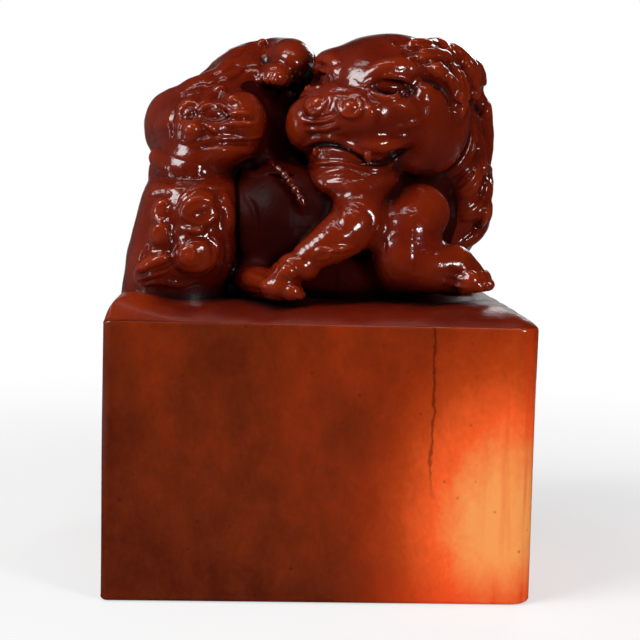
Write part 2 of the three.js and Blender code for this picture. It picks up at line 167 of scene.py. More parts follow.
def trilinear(lattices, q):
    """The value of each lattice at fractional indices q: the sum over the cell's corners, each
    weighted by the product over the axes of t or 1 - t."""
    q = np.clip(q, 0, np.array(lattices[0].shape) - 1.001)
    i = q.astype(int)
    t = q - i
    totals = [0] * len(lattices)
    for pick in CORNERS:
        weight = np.prod(np.where(pick, t, 1 - t), axis=-1)
        j = tuple(np.moveaxis(i + pick, -1, 0))
        totals = [total + weight * lattice[j] for total, lattice in zip(totals, lattices)]
    return totals


# Forms: each is (low corner, high corner, distance), and distance takes three lattice axes


def egg(centre, half, turn=UPRIGHT):
    """An ellipsoid. With q the place in its own axes, k = |q / half| and g = |q / half^2|, the
    distance is k (k - 1) / g."""
    centre, half = np.asarray(centre, float), np.asarray(half, float)
    reach = np.sqrt((turn ** 2) @ (half ** 2))

    def distance(x, y, z):
        x, y, z = x - centre[0], y - centre[1], z - centre[2]
        k2 = g2 = 0
        for axis, size in zip(turn.T, half):
            q = (axis[0] * x + axis[1] * y + axis[2] * z) / size
            q *= q
            k2 = k2 + q
            g2 = g2 + q / size ** 2
        k = np.sqrt(k2)
        return k * (k - 1) / np.sqrt(g2 + 1e-9)

    return centre - reach, centre + reach, distance


def along(points, values, x, y, z, reach, combine):
    """Goes along a polyline and hands combine the window, the distance to each stretch and the
    value carried there."""
    grids = (x.ravel(), y.ravel(), z.ravel())
    for a, b, va, vb in zip(points[:-1], points[1:], values[:-1], values[1:]):
        span = [np.searchsorted(g, (min(p, q) - reach, max(p, q) + reach))
                for g, p, q in zip(grids, a, b)]
        if any(i >= j for i, j in span):
            continue
        window = tuple(slice(i, j) for i, j in span)
        qx = x[window[0]] - a[0]
        qy = y[:, window[1]] - a[1]
        qz = z[:, :, window[2]] - a[2]
        step = b - a
        length2 = step @ step + 1e-12
        h = np.clip((qx * step[0] + qy * step[1] + qz * step[2]) / length2, 0, 1)
        s = np.sqrt((qx - h * step[0]) ** 2 + (qy - h * step[1]) ** 2 + (qz - h * step[2]) ** 2)
        combine(window, s, va + (vb - va) * h)


def tube(path, radii, flat=1.0, press=(0, 0, 1), count=None):
    """A round rope along a smooth path: the least over its stretches of |p - nearest| - radius.
    With flat below 1 space is first stretched by 1 / flat along press, which thins the section."""
    count = count or 4 * len(path) + 2
    points = spline(path, count)
    r = np.interp(np.linspace(0, 1, count), np.linspace(0, 1, len(radii)), radii)
    low, high = (points - r[:, None]).min(0), (points + r[:, None]).max(0)
    n = np.asarray(press, float)
    n /= np.linalg.norm(n)
    gain = 1 / flat - 1

    def distance(x, y, z):
        d = np.full(np.broadcast_shapes(x.shape, y.shape, z.shape), FAR, np.float32)

        def keep(window, s, radius):
            np.minimum(d[window], s - radius, out=d[window])

        if gain < 1e-6:
            along(points, r, x, y, z, r.max() + FAR, keep)
            return d
        shift = gain * (n[0] * x + n[1] * y + n[2] * z)
        sx, sy, sz = x + shift * n[0], y + shift * n[1], z + shift * n[2]
        stretched = points + gain * (points @ n)[:, None] * n
        for a, b, ra, rb in zip(stretched[:-1], stretched[1:], r[:-1], r[1:]):
            step = b - a
            h = np.clip(((sx - a[0]) * step[0] + (sy - a[1]) * step[1] + (sz - a[2]) * step[2])
                        / (step @ step + 1e-12), 0, 1)
            s = np.sqrt((sx - a[0] - h * step[0]) ** 2 + (sy - a[1] - h * step[1]) ** 2
                        + (sz - a[2] - h * step[2]) ** 2)
            np.minimum(d, (s - ra - (rb - ra) * h), out=d)
        return d

    return low, high, distance


class Clay:
    """A member's signed distance on a lattice shared by all members, in mm."""

    def __init__(self, low, high):
        self.first = np.floor(np.asarray(low) / PITCH).astype(int) - 2
        last = np.ceil(np.asarray(high) / PITCH).astype(int) + 2
        self.field = np.full(last - self.first + 1, FAR, np.float32)

    def window(self, low, high, reach):
        """The lattice's slices over a box, and its three axes there."""
        shape = self.field.shape
        lo = np.clip(np.floor((low - reach) / PITCH).astype(int) - self.first, 0, shape)
        hi = np.clip(np.ceil((high + reach) / PITCH).astype(int) + 1 - self.first, 0, shape)
        axes = []
        for k in range(3):
            axis = ((np.arange(lo[k], hi[k]) + self.first[k]) * PITCH).astype(np.float32)
            axes.append(axis.reshape([-1 if j == k else 1 for j in range(3)]))
        return tuple(slice(a, b) for a, b in zip(lo, hi)), axes

    def add(self, form, blend=0.0):
        """Joins a form on: min(f, d), rounded over blend mm by min - blend (1 - |f - d| / blend)^2 / 4."""
        low, high, distance = form
        window, axes = self.window(low, high, FAR)
        here = self.field[window]
        if here.size:
            d = distance(*axes)
            joined = np.minimum(here, d)
            if blend:
                joined -= blend / 4 * np.clip(1 - np.abs(here - d) / blend, 0, None) ** 2
            self.field[window] = joined
        return self

    def cut(self, form, blend=0.0):
        """Takes a form away: max(f, -d), rounded over blend mm."""
        low, high, distance = form
        window, axes = self.window(low, high, FAR / 2)
        here = self.field[window]
        if here.size:
            d = -distance(*axes)
            cut = np.maximum(here, d)
            if blend:
                cut += blend / 4 * np.clip(1 - np.abs(here - d) / blend, 0, None) ** 2
            self.field[window] = cut
        return self

    def stroke(self, points, depth, width, taper=0.6):
        """A line drawn on the surface. With s the distance to the line, the surface sinks by
        depth exp(-(s / width)^2), or rises where depth is negative, and fades at both ends."""
        points = np.asarray(points, float)
        t = np.linspace(0, 1, len(points))
        fade = np.clip(np.minimum(t, 1 - t) * 2 / max(taper, 1e-3), 0, 1) ** 0.7 if taper else t * 0 + 1
        window, axes = self.window(points.min(0), points.max(0), 2.6 * width)
        here = self.field[window]
        if not here.size:
            return self
        pressed = np.zeros(here.shape, np.float32)

        def keep(sub, s, strength):
            np.maximum(pressed[sub], strength * np.exp(-(s / width) ** 2), out=pressed[sub])

        along(points, fade, *axes, 2.6 * width, keep)
        self.field[window] = here + depth * pressed
        return self

    def roughen(self, amount, size, seed):
        """An uneven surface: smooth random heights of about size mm across, added to the distance."""
        source = np.random.default_rng(seed)
        shape = self.field.shape
        coarse = [int(n * PITCH / size) + 4 for n in shape]
        heights = source.standard_normal(coarse)
        for axis, (n, m) in enumerate(zip(shape, coarse)):
            place = np.arange(n) * PITCH / size + 1
            i = place.astype(int)
            t = place - i
            t = t * t * (3 - 2 * t)
            weights = np.zeros((n, m))
            weights[np.arange(n), i] = 1 - t
            weights[np.arange(n), i + 1] += t
            heights = np.moveaxis(np.tensordot(weights, heights, (1, axis)), 0, axis)
        self.field += (amount * heights).astype(np.float32)
        return self

    def sample(self, points):
        """The distance at any places, between the lattice's own by trilinear weights."""
        q = np.asarray(points) / PITCH - self.first
        inside = np.all((q >= 0) & (q < np.array(self.field.shape) - 1), axis=-1)
        return np.where(inside, trilinear([self.field], q)[0], FAR)

    def slope(self, points):
        """The unit outward direction, from differences over 0.7 of a pitch to each side."""
        parts = []
        for k in range(3):
            off = np.zeros(3)
            off[k] = PITCH * 0.7
            parts.append(self.sample(points + off) - self.sample(points - off))
        g = np.stack(parts, -1)
        return g / (np.linalg.norm(g, axis=-1, keepdims=True) + 1e-9)

    def seen(self, pixels, count=None):
        """Places on the surface that the fitted camera sees at these pixels, joined by a smooth
        curve in the picture. A ray that misses gives the place where it passes nearest."""
        pixels = np.asarray(pixels, float)
        if count:
            pixels = spline(pixels, count)
        right, up, forward = camera_axes()
        ray = (forward + (pixels[:, :1] - IMAGE_SIZE / 2) / CAMERA_FOCUS * right
               - (pixels[:, 1:] - IMAGE_SIZE / 2) / CAMERA_FOCUS * up)
        near = (self.first[1] * PITCH - CAMERA_PLACE[1]) * 0.985
        far = ((self.first[1] + self.field.shape[1]) * PITCH - CAMERA_PLACE[1]) * 1.015
        t = np.linspace(near, far, 420)
        f = self.sample(CAMERA_PLACE + ray[:, None, :] * t[:, None])
        hit = f < 0
        first = np.where(hit.any(1), hit.argmax(1), f.argmin(1))
        before = np.maximum(first - 1, 0)
        rows = np.arange(len(pixels))
        a, b = f[rows, before], f[rows, first]
        share = np.where(hit.any(1), a / np.where(np.abs(a - b) < 1e-6, 1, a - b), 1)
        reach = t[before] + np.clip(share, 0, 1) * (t[first] - t[before])
        return CAMERA_PLACE + ray * reach[:, None]

    def surface(self):
        """The zero surface as points and quads. Each lattice cell that it crosses has one point, the
        mean of the crossings on the cell's edges; each crossed edge joins its four cells. Two steps
        p -= f grad f then lay the points on the surface."""
        f = self.field
        for k in range(3):
            for end in (0, -1):
                side = [slice(None)] * 3
                side[k] = end
                f[tuple(side)] = np.maximum(f[tuple(side)], PITCH)
        inside = f < 0
        counted = np.zeros([n - 1 for n in f.shape], np.int8)
        for corner in CORNERS:
            counted += inside[tuple(slice(s, n - 1 + s) for s, n in zip(corner, f.shape))]
        active = np.argwhere((counted > 0) & (counted < 8))
        number = np.full(counted.shape, -1, np.int32)
        number[tuple(active.T)] = np.arange(len(active))
        values = np.stack([f[tuple((active + c).T)] for c in CORNERS], 1)
        total = np.zeros((len(active), 3))
        crossings = np.zeros(len(active))
        for a in range(8):
            for k in range(3):
                if a >> k & 1:
                    continue
                b = a | 1 << k
                va, vb = values[:, a], values[:, b]
                crossed = (va < 0) != (vb < 0)
                t = np.where(crossed, va / np.where(crossed, va - vb, 1), 0)
                total += crossed[:, None] * (CORNERS[a] + t[:, None] * (CORNERS[b] - CORNERS[a]))
                crossings += crossed
        points = (active + total / crossings[:, None] + self.first) * PITCH
        quads = []
        for k in range(3):
            head = tuple(slice(1, None) if j == k else slice(None) for j in range(3))
            tail = tuple(slice(None, -1) if j == k else slice(None) for j in range(3))
            crossed = inside[tail] != inside[head]
            edges = np.argwhere(crossed)
            u, v = np.zeros(3, int), np.zeros(3, int)
            u[(k + 1) % 3] = v[(k + 2) % 3] = 1
            ring = np.stack([number[tuple((edges - o).T)] for o in (0 * u, u, u + v, v)], 1)
            outward = inside[tail][tuple(edges.T)]
            quads.append(np.where(outward[:, None], ring, ring[:, ::-1]))
        for _ in range(2):
            slope = self.slope(points)
            points -= slope * np.clip(self.sample(points), -0.4 * PITCH, 0.4 * PITCH)[:, None]
        return points, np.vstack(quads)


def without_crumbs(points, quads):
    """Leaves out the small islands that thin edges break into. Each point takes the least number
    among the points that its faces join it to, over and over, until an island shares one number."""
    label = np.arange(len(points))
    while True:
        low = label[quads].min(1)
        least = label.copy()
        for corner in quads.T:
            np.minimum.at(least, label[corner], low)
        least = least[least]
        if (least == label).all():
            break
        label = least
    island = label[quads[:, 0]]
    faces = np.bincount(island, minlength=len(points))
    kept = quads[faces[island] * PITCH ** 2 > CRUMB]
    used, quads = np.unique(kept, return_inverse=True)
    return points[used], quads.reshape(kept.shape)


def joined(forms, low, high, blend=0.0):
    """A member's clay from its forms, each with the blend given or its own."""
    clay = Clay(low, high)
    for item in forms:
        form, own = item if isinstance(item[0], tuple) else (item, blend)
        clay.add(form, own)
    return clay


# The members


class Head:
    """A lion's head in its own frame, in shares of its height: X along the snout, Y to its left,
    Z up. What is drawn on one side is mirrored to the other."""

    def __init__(self, height, centre, turn):
        self.height = height
        self.centre = centre
        self.turn = turned(*turn)

    def place(self, share):
        return self.centre + self.height * self.turn @ np.asarray(share, float)

    def egg(self, share, half):
        return egg(self.place(share), np.asarray(half) * self.height, self.turn)

    def pair(self, share, half):
        x, y, z = share
        return [self.egg((x, y, z), half), self.egg((x, -y, z), half)]

    def sides(self, points):
        """The points, and the same points across the head's middle plane: p - 2 ((p - c) . y) y."""
        y = self.turn[:, 1]
        return points, points - 2 * ((points - self.centre) @ y)[:, None] * y


def smooth_lines(clay, lines, depth, width, head=None, taper=0.6):
    """Lines given by the pixels at which the camera sees them: grooves, or ridges if depth is
    negative. On a head they are mirrored."""
    for pixels in lines:
        points = clay.seen(pixels, 5 * len(pixels) + 4)
        for side in (head.sides(points) if head else (points,)):
            clay.stroke(side, depth, width, taper)


def rolls(clay, lines, radius, height, blend, head=None):
    """Raised rolls along lines given by their pixels: ropes of that radius, sunk so that they
    stand height proud."""
    for pixels in lines:
        points = clay.seen(pixels, 4 * len(pixels) + 2)
        points = points - clay.slope(points) * (radius - height)
        share = np.sin(np.linspace(0.12, 0.88, 7) * math.pi) ** 0.6
        for side in (head.sides(points) if head else (points,)):
            clay.add(tube(side, radius * share, count=len(points)), blend)


def facing(clay, point):
    """A frame on the surface as columns: level along it, up along it, and out of it."""
    out = clay.slope(point[None])[0]
    level = np.cross(out, (0, 0, 1.0))
    level /= np.linalg.norm(level) + 1e-9
    return np.column_stack([level, np.cross(level, out), out])


def lumps(clay, marks, blend, head=None, cut=False):
    """Egg forms set in the surface where the camera sees their pixels. Each is a pixel, half sizes
    level, up and out, how deep its middle lies, and a turn in degrees about the way out."""
    made = []
    for u, v, half, depth, spin in marks:
        point = clay.seen([(u, v)])[0]
        axes = facing(clay, point) @ turned(spin)
        made.append((point - axes[:, 2] * depth, half, axes))
    for point, half, axes in made:
        mirrors = [np.eye(3)]
        if head:
            y = head.turn[:, 1]
            mirrors.append(np.eye(3) - 2 * np.outer(y, y))
        for mirror in mirrors:
            centre = point if head is None else head.centre + mirror @ (point - head.centre)
            form = egg(centre, half, mirror @ axes)
            clay.cut(form, blend) if cut else clay.add(form, blend)


def curls(clay, marks, blend, head=None):
    """Snail curls: a dome with a groove that winds in from its rim, given by pixel, radius in
    pixels and the angle at which the groove starts."""
    for u, v, radius, start in marks:
        lumps(clay, [(u, v, (radius * 0.108, radius * 0.108, 0.9), 0.45, 0)], blend, head)
    for u, v, radius, start in marks:
        angle = np.radians(start) + np.linspace(0, 2.6 * math.pi, 16)
        r = radius * np.linspace(0.86, 0.16, 16)
        groove = np.column_stack([u + r * np.cos(angle), v + r * np.sin(angle)])
        smooth_lines(clay, [groove], 0.24, 0.2, head, 0.2)


def paw(centre, heading, width, toe):
    """A domed back with four toes side by side, each toe a knuckle and a claw."""
    way = turned(heading)
    back = (0.6 * width, 0.5 * width, 0.42 * width)
    forms = [(egg(centre - 0.15 * width * way[:, 0], back, way), 0.3)]
    for k in (-1.5, -0.5, 0.5, 1.5):
        root = centre + way @ np.array([0.3 * width - abs(k) * 0.12 * toe, k * width / 4.6, -0.1 * width])
        forms.append((egg(root, (0.72 * toe, 0.52 * toe, 0.62 * toe), way), 0.1))
        tip = root + way @ np.array([0.56 * toe, 0, -0.22 * toe])
        forms.append((egg(tip, (0.34 * toe, 0.26 * toe, 0.3 * toe), way), 0.05))
    return forms


def on_egg(centre, half, azimuth, height):
    """Places on an egg form by azimuth and height in degrees, as arrays."""
    a, b = np.radians(azimuth), np.radians(height)
    out = np.stack([np.cos(b) * np.cos(a), np.cos(b) * np.sin(a), np.sin(b)], -1)
    return np.asarray(centre) + np.asarray(half) * out


# The height of the lioness's head in mm
LIONESS_HEAD = 18.6


def lioness_skull():
    """The head's frame and its main masses, which the locks of the ear lie on too."""
    head = Head(LIONESS_HEAD, at(0.31, -0.2, 0.727), (-125, 12, -5))
    return head, joined([
        (head.egg((-0.06, 0, 0.1), (0.43, 0.4, 0.33)), 0),
        (head.egg((0.02, 0, 0.23), (0.38, 0.37, 0.185)), 0.9),
        *[(f, 1.2) for f in head.pair((-0.08, 0.27, -0.07), (0.33, 0.22, 0.33))],
        (head.egg((-0.03, 0, -0.26), (0.25, 0.3, 0.23)), 1.0),
        *[(f, 0.9) for f in head.pair((0.15, 0.2, 0.0), (0.28, 0.24, 0.2))],
        (egg(at(0.035, -0.2, 0.87), (1.8, 2.4, 1.8)), 1.2),
    ], head.centre - 12.5, head.centre + 12.5)


def lioness_head():
    head, clay = lioness_skull()
    # The jaw's broad mass, the parted lips' shadow above it and the muzzle with its whisker pads
    clay.add(egg(px(352, 177, -9.6), (5.3, 5.3, 2.7), head.turn), 1.0)
    clay.add(egg(px(352, 156, -8.9), (4.9, 4.9, 2.3), head.turn), 0.4)
    clay.add(egg(px(404, 157, -7.6), (2.9, 3.6, 2.2)), 1.0)
    clay.add(head.egg((0.37, 0, 0.03), (0.25, 0.31, 0.2)), 1.3)
    clay.add(egg(px(305, 125, -8.8), (2.15, 3.0, 2.9)), 1.0)
    for f in head.pair((0.36, 0.17, -0.1), (0.21, 0.17, 0.09)):
        clay.add(f, 0.9)
    clay.roughen(0.035, 2.0, 3)
    lumps(clay, [(400, 106, (2.2, 1.0, 1.4), 0.75, 16), (436, 125, (2.6, 3.6, 1.8), 1.4, 0)], 0.9, head)
    # Brow rolls over almond eyes: a socket, the ball in it and a thin lid above and below
    rolls(clay, [[(366, 78), (377, 70), (391, 65), (408, 64), (421, 71)]], 1.1, 0.5, 0.5, head)
    lumps(clay, [(390, 88, (2.6, 1.25, 0.55), 0.0, 3)], 0.3, head, cut=True)
    lumps(clay, [(390, 88, (2.25, 1.0, 1.3), 0.5, 3)], 0.06, head)
    rolls(clay, [
        [(366, 86), (372, 93), (383, 98), (397, 97), (406, 92), (412, 84)],
        [(364, 87), (375, 79), (390, 76), (404, 78), (413, 84)],
    ], 0.4, 0.36, 0.08, head)
    lumps(clay, [(425, 89, (1.0, 1.3, 0.8), 0.3, 20), (372, 110, (0.8, 0.9, 0.6), 0.2, 0)], 0.4)
    # The nose's upper edge, the fold over the cheek, the one behind the nose and the one by the eye
    smooth_lines(clay, [
        [(304, 84), (318, 80), (334, 80), (347, 84), (358, 87), (366, 92)],
        [(388, 137), (400, 134), (412, 129), (422, 127)],
        [(366, 92), (374, 104), (378, 116), (377, 130)],
        [(414, 98), (412, 86), (417, 78), (428, 76)],
        [(330, 92), (340, 90), (350, 92)],
        [(312, 62), (324, 66), (338, 64)],
    ], 0.36, 0.34)
    rolls(clay, [[(390, 131), (402, 129), (412, 125), (420, 123)]], 0.5, 0.22, 0.3)
    # Nostrils: a bead in a rolled rim, and the nose's own ball between them
    lumps(clay, [(311, 105, (1.15, 1.1, 1.0), 0.35, 0)], 0.25)
    lumps(clay, [(350, 107, (1.0, 0.9, 0.9), 0.3, 0)], 0.08, head)
    rolls(clay, [[(338, 102), (340, 110), (347, 116), (356, 115), (361, 107), (358, 99)]],
          0.42, 0.38, 0.06, head)
    smooth_lines(clay, [[(334, 99), (335, 110), (344, 119), (357, 119), (366, 110)]], 0.25, 0.24, head)
    # Wrinkles across the nose
    smooth_lines(clay, [
        [(304, 112), (314, 114), (324, 114), (333, 111)],
        [(302, 120), (312, 122), (324, 121), (334, 118)],
        [(304, 129), (316, 130), (328, 128), (337, 124)],
    ], -0.24, 0.2, None, 0.4)
    smooth_lines(clay, [
        [(304, 116), (314, 118), (324, 117), (334, 114)],
        [(303, 125), (313, 126), (325, 125), (336, 121)],
        [(306, 134), (318, 135), (330, 132), (340, 129)],
        [(318, 108), (326, 104), (330, 98)],
    ], 0.3, 0.22, None, 0.4)
    # The shadow between the lips, the lips rolled along it, the teeth's line and a fang
    smooth_lines(clay, [
        [(306, 151), (318, 145), (334, 145), (348, 150), (362, 158), (376, 163), (388, 161), (402, 153),
         (417, 146)],
    ], 0.38, 0.28, None, 0.3)
    rolls(clay, [
        [(304, 146), (312, 141), (322, 138), (336, 139), (350, 145), (362, 152), (376, 158), (386, 154)],
        [(306, 167), (322, 163), (340, 163), (358, 167), (374, 170), (387, 168), (396, 159), (406, 153),
         (418, 144)],
        [(311, 158), (318, 152), (330, 150), (348, 154), (362, 162)],
    ], 0.46, 0.36, 0.1)
    smooth_lines(clay, [[(310, 162), (324, 158.5), (340, 158.5), (356, 163), (370, 166)]],
                 0.3, 0.2, None, 0.3)
    lumps(clay, [(368, 157, (0.45, 0.8, 0.6), 0.05, -15), (316, 152, (0.35, 0.6, 0.5), 0.05, 0)], 0.08)
    # The chin's ledge, its edge on the left and the beard's strokes
    rolls(clay, [[(318, 175), (332, 171), (346, 170), (360, 173)], [(309, 183), (313, 193), (318, 202)]],
          0.5, 0.26, 0.15)
    smooth_lines(clay, [[(322, 181), (340, 178), (360, 180)]], 0.15, 0.26)
    return clay


def lioness_ear():
    centre = px(446, 76, -3)
    skull = lioness_skull()[1]
    # Locks of hair that lie on the skull's right side, as pixels with a radius in mm
    locks = [
        ([(404, 44), (420, 46), (436, 47), (450, 50)], 1.5),
        ([(412, 56), (426, 57), (440, 58), (452, 64)], 1.3),
        ([(424, 66), (436, 72), (448, 82), (455, 96)], 1.4),
        ([(444, 62), (456, 76), (462, 94), (461, 112)], 1.7),
    ]
    forms = [(tube([px(452, 60, -2), px(464, 74, -1), px(468, 98, 1)], (1.9, 2.0, 1.5)), 0),
             (tube([at(0.62, 0, 0.9), at(0.76, 0.08, 0.86), at(0.8, 0.14, 0.74)], (2.3, 2.2, 1.5)), 0.6)]
    for pixels, radius in locks:
        path = skull.seen(pixels, 12)
        path = path + skull.slope(path) * (0.9 - radius)
        forms.append((tube(path, radius * np.array([0.6, 1, 1, 1, 0.8]), count=12), 0.25))
    clay = joined(forms, centre - (9, 10, 9), centre + (9, 14, 8))
    curls(clay, [(422, 60, 7, 200), (438, 68, 9, 60), (450, 78, 6, 0), (468, 67, 9, 120), (460, 99, 8, 60),
                 (475, 96, 9, 120)], 0.2)
    clay.roughen(0.07, 1.3, 23)
    smooth_lines(clay, [
        [(406, 42), (420, 42), (434, 43), (448, 46)],
        [(408, 50), (422, 51), (438, 52), (450, 56)],
        [(414, 61), (428, 62), (440, 60), (452, 66)],
        [(455, 60), (464, 76), (468, 90)],
        [(438, 78), (448, 92), (452, 106)],
        [(454, 78), (458, 96), (457, 112)],
        [(448, 40), (456, 50), (464, 56)],
        [(468, 76), (472, 88), (478, 98)],
        [(466, 80), (467, 94), (472, 106)],
    ], 0.42, 0.26)
    return clay


def lioness_mane():
    centre, half = at(0.46, 0.15, 0.6), np.array([9.1, 8.0, 12.4])
    clay = joined([
        egg(centre, half),
        (egg(at(0.52, 0.12, 0.3), (7.4, 6.2, 6.0)), 1.0),
        (egg(at(0.74, 0.03, 0.43), (2.5, 3.5, 6.0)), 0.8),
    ], centre - (12, 11, 15), centre + (12, 11, 14.4))
    # Locks in three rows, the lower under the upper, each an S that ends in a hooked tip
    for first, last, count, high, low, sway, width in (
            (26, 140, 4, 12, -44, -12, 2.1), (-2, 170, 5, 38, -18, 12, 2.2), (2, 190, 5, 68, 10, 11, 2.1)):
        for azimuth in np.linspace(first, last, count):
            a = azimuth + sway * np.array([-1, 0.3, 0.9, 0.4, -0.5, -0.7])
            h = high + (low - high) * np.array([0, 0.35, 0.7, 0.95, 1.0, 0.86])
            path = on_egg(centre, half * 1.0, a, h)
            press = path[2] - centre
            clay.add(tube(path, width * np.array([0.6, 1, 1.05, 0.8, 0.5, 0.3]), 0.62, press), 0.15)
    # The front's locks hang from the ear and turn in under the cheek
    front = [
        [(466, 112), (471, 132), (467, 152), (455, 168), (442, 174)],
        [(476, 124), (481, 148), (478, 170), (465, 188), (449, 194)],
        [(484, 156), (488, 182), (484, 200), (470, 213), (452, 216)],
        [(489, 200), (485, 220), (473, 237), (458, 246)],
    ]
    rolls(clay, front, 1.5, 0.75, 0.2)
    strands = [[(u + shift, v + 3 * shift / 4) for u, v in lock] for lock in front for shift in (-4, 3)]
    smooth_lines(clay, strands, 0.3, 0.22)
    clay.roughen(0.06, 1.4, 5)
    return clay


def lioness_body():
    return joined([
        tube([at(0.28, -0.12, 0.32), at(0.3, 0.13, 0.36), at(0.3, 0.46, 0.31)], (6.6, 9.2, 9.0)),
        (egg(at(0.22, -0.34, 0.33), (4.4, 4.6, 6.0)), 1.5),
        (egg(at(0.14, -0.42, 0.12), (7.0, 4.0, 3.4)), 1.5),
    ], at(-0.4, -0.8, 0), at(0.85, 0.95, 0.72))


def lioness_left_foreleg():
    clay = joined([
        tube([px(362, 206, -11), px(357, 222, -14.2), px(335, 240, -16), px(308, 257, -17)],
             (2.5, 2.85, 2.4, 1.7)),
        *paw(px(293, 267, -17.4), -163, 3.9, 1.5),
    ], at(-0.45, -1, 0), at(0.4, -0.2, 0.55), 0.4)
    rolls(clay, [
        [(314, 256), (320, 250), (328, 251), (327, 257), (318, 259)],
        [(328, 251), (340, 249), (354, 247)],
    ], 0.4, 0.28, 0.08)
    smooth_lines(clay, [[(340, 205), (338, 220), (346, 232)], [(352, 203), (372, 216), (368, 232)]],
                 0.22, 0.3)
    return clay


def lioness_right_upper_foreleg():
    clay = joined([tube([px(421, 213, -10.5), px(410, 230, -12.5), px(398, 254, -14)], (3.1, 3.1, 2.5))],
                  at(0.1, -0.9, 0), at(0.8, 0, 0.62))
    smooth_lines(clay, [[(389, 202), (386, 220), (385, 240), (386, 256)]], 0.25, 0.3)
    return clay


def lioness_right_forepaw():
    clay = joined([
        tube([at(0.361, -0.578, 0.147), at(0.5, -0.622, 0.17), at(0.63, -0.6, 0.17)], (2.4, 2.8, 2.65)),
        *paw(at(0.67, -0.6, 0.15), -26, 5.6, 2.2),
    ], at(0.1, -1, -0.05), at(1.05, -0.2, 0.4), 0.4)
    clay.roughen(0.04, 1.6, 31)
    smooth_lines(clay, [
        [(450, 268), (458, 274), (468, 277)],
        [(446, 277), (456, 282), (468, 285)],
        [(442, 286), (454, 290), (466, 291)],
        [(398, 268), (412, 256), (430, 251)],
    ], 0.26, 0.26)
    return clay


def lioness_right_haunch():
    centre = at(0.6, 0.54, 0.29)
    return joined([egg(centre, (6.16, 7.0, 7.56))], centre - 8.5, centre + 8.5)


def lioness_left_haunch():
    centre = at(-0.02, 0.66, 0.26)
    return joined([egg(centre, (6.16, 5.6, 7.0))], centre - 8, centre + 8)


def lioness_right_hind_paw():
    return joined([
        tube([at(0.66, 0.4, 0.1), at(0.7, 0.16, 0.1)], (2.55, 2.4)),
        *paw(at(0.7, 0.06, 0.1), -90, 5.6, 2.1),
    ], at(0.4, -0.4, -0.05), at(1, 0.7, 0.3), 0.4)


def lioness_tail():
    return joined([tube([at(0.32, 0.84, 0.16), at(0.42, 0.86, 0.36), at(0.3, 0.72, 0.54), at(0.06, 0.6, 0.6),
                         at(-0.1, 0.66, 0.5)], (2.1, 2.7, 3.3, 3.3, 1.5), 0.75, (0, 1, 0.5))],
                  at(-0.4, 0.3, 0), at(0.75, 1.02, 0.78))


def upper_cub_head():
    centre = px(205, 128, -6)
    clay = joined([
        (egg(px(208, 130, -6), (6.2, 6.8, 3.9), turned(0, 4)), 0),
        (egg(px(170, 130, -3.4), (2.9, 4.6, 3.5)), 1.0),
        (egg(px(240, 122, -7.2), (3.0, 4.9, 3.4)), 1.0),
        (egg(px(193, 131, -9.6), (1.9, 3.4, 2.2)), 0.9),
        (egg(px(212, 148, -7.8), (5.0, 5.4, 1.7)), 0.6),
    ], centre - 10, centre + (9, 10, 8))
    clay.roughen(0.05, 1.6, 7)
    # Brows, sunk eyes with their balls, the nose's ball and the cheek under the eye
    rolls(clay, [[(180, 111), (186, 104), (196, 102)], [(200, 105), (212, 98), (226, 97), (240, 104)]],
          0.9, 0.5, 0.25)
    lumps(clay, [(214, 114, (1.9, 1.1, 0.8), 0.1, 0), (190, 113, (1.0, 0.95, 0.7), 0.1, 0)], 0.3, cut=True)
    lumps(clay, [(214, 114, (1.45, 0.8, 0.9), 0.3, 0), (190, 113, (0.7, 0.7, 0.8), 0.25, 0)], 0.06)
    lumps(clay, [(192, 130, (1.0, 0.85, 0.8), 0.3, 0), (240, 114, (1.2, 0.55, 0.7), 0.25, -6),
                 (242, 123, (1.5, 0.5, 0.6), 0.2, -4), (212, 129, (0.8, 0.45, 0.5), 0.15, 20)], 0.15)
    rolls(clay, [
        [(200, 112), (204, 119), (213, 122), (223, 120), (230, 113)],
        [(199, 111), (207, 106), (219, 105), (231, 111)],
        [(183, 112), (188, 119), (196, 118)],
        [(184, 141), (197, 144), (210, 140), (226, 139), (244, 139), (262, 136)],
        [(178, 150), (188, 156), (202, 160), (216, 161), (230, 161), (248, 157), (264, 152)],
        [(184, 136), (190, 138), (198, 136)],
    ], 0.42, 0.32, 0.08)
    smooth_lines(clay, [
        [(182, 146), (198, 149), (212, 146), (236, 144), (262, 141)],
        [(228, 118.5), (241, 118), (257, 118)],
        [(203, 136), (206, 130), (203, 124), (197, 121)],
        [(176, 106), (172, 124), (175, 142)],
        [(186, 162), (206, 166), (228, 166), (256, 160)],
    ], 0.42, 0.3)
    curls(clay, [(233, 99, 7, 180), (222, 91, 5, 0)], 0.15)
    smooth_lines(clay, [[(206, 91), (214, 89), (224, 86)], [(200, 96), (212, 94), (222, 95)]], -0.2, 0.25)
    return clay


def upper_cub_body():
    path = [at(-0.42, -0.1, 0.6), at(-0.36, 0.2, 0.62), at(-0.3, 0.46, 0.47)]
    return joined([tube(path, (5.85, 7.15, 6.5))], at(-0.9, -0.6, 0.1), at(0.15, 0.95, 0.9))


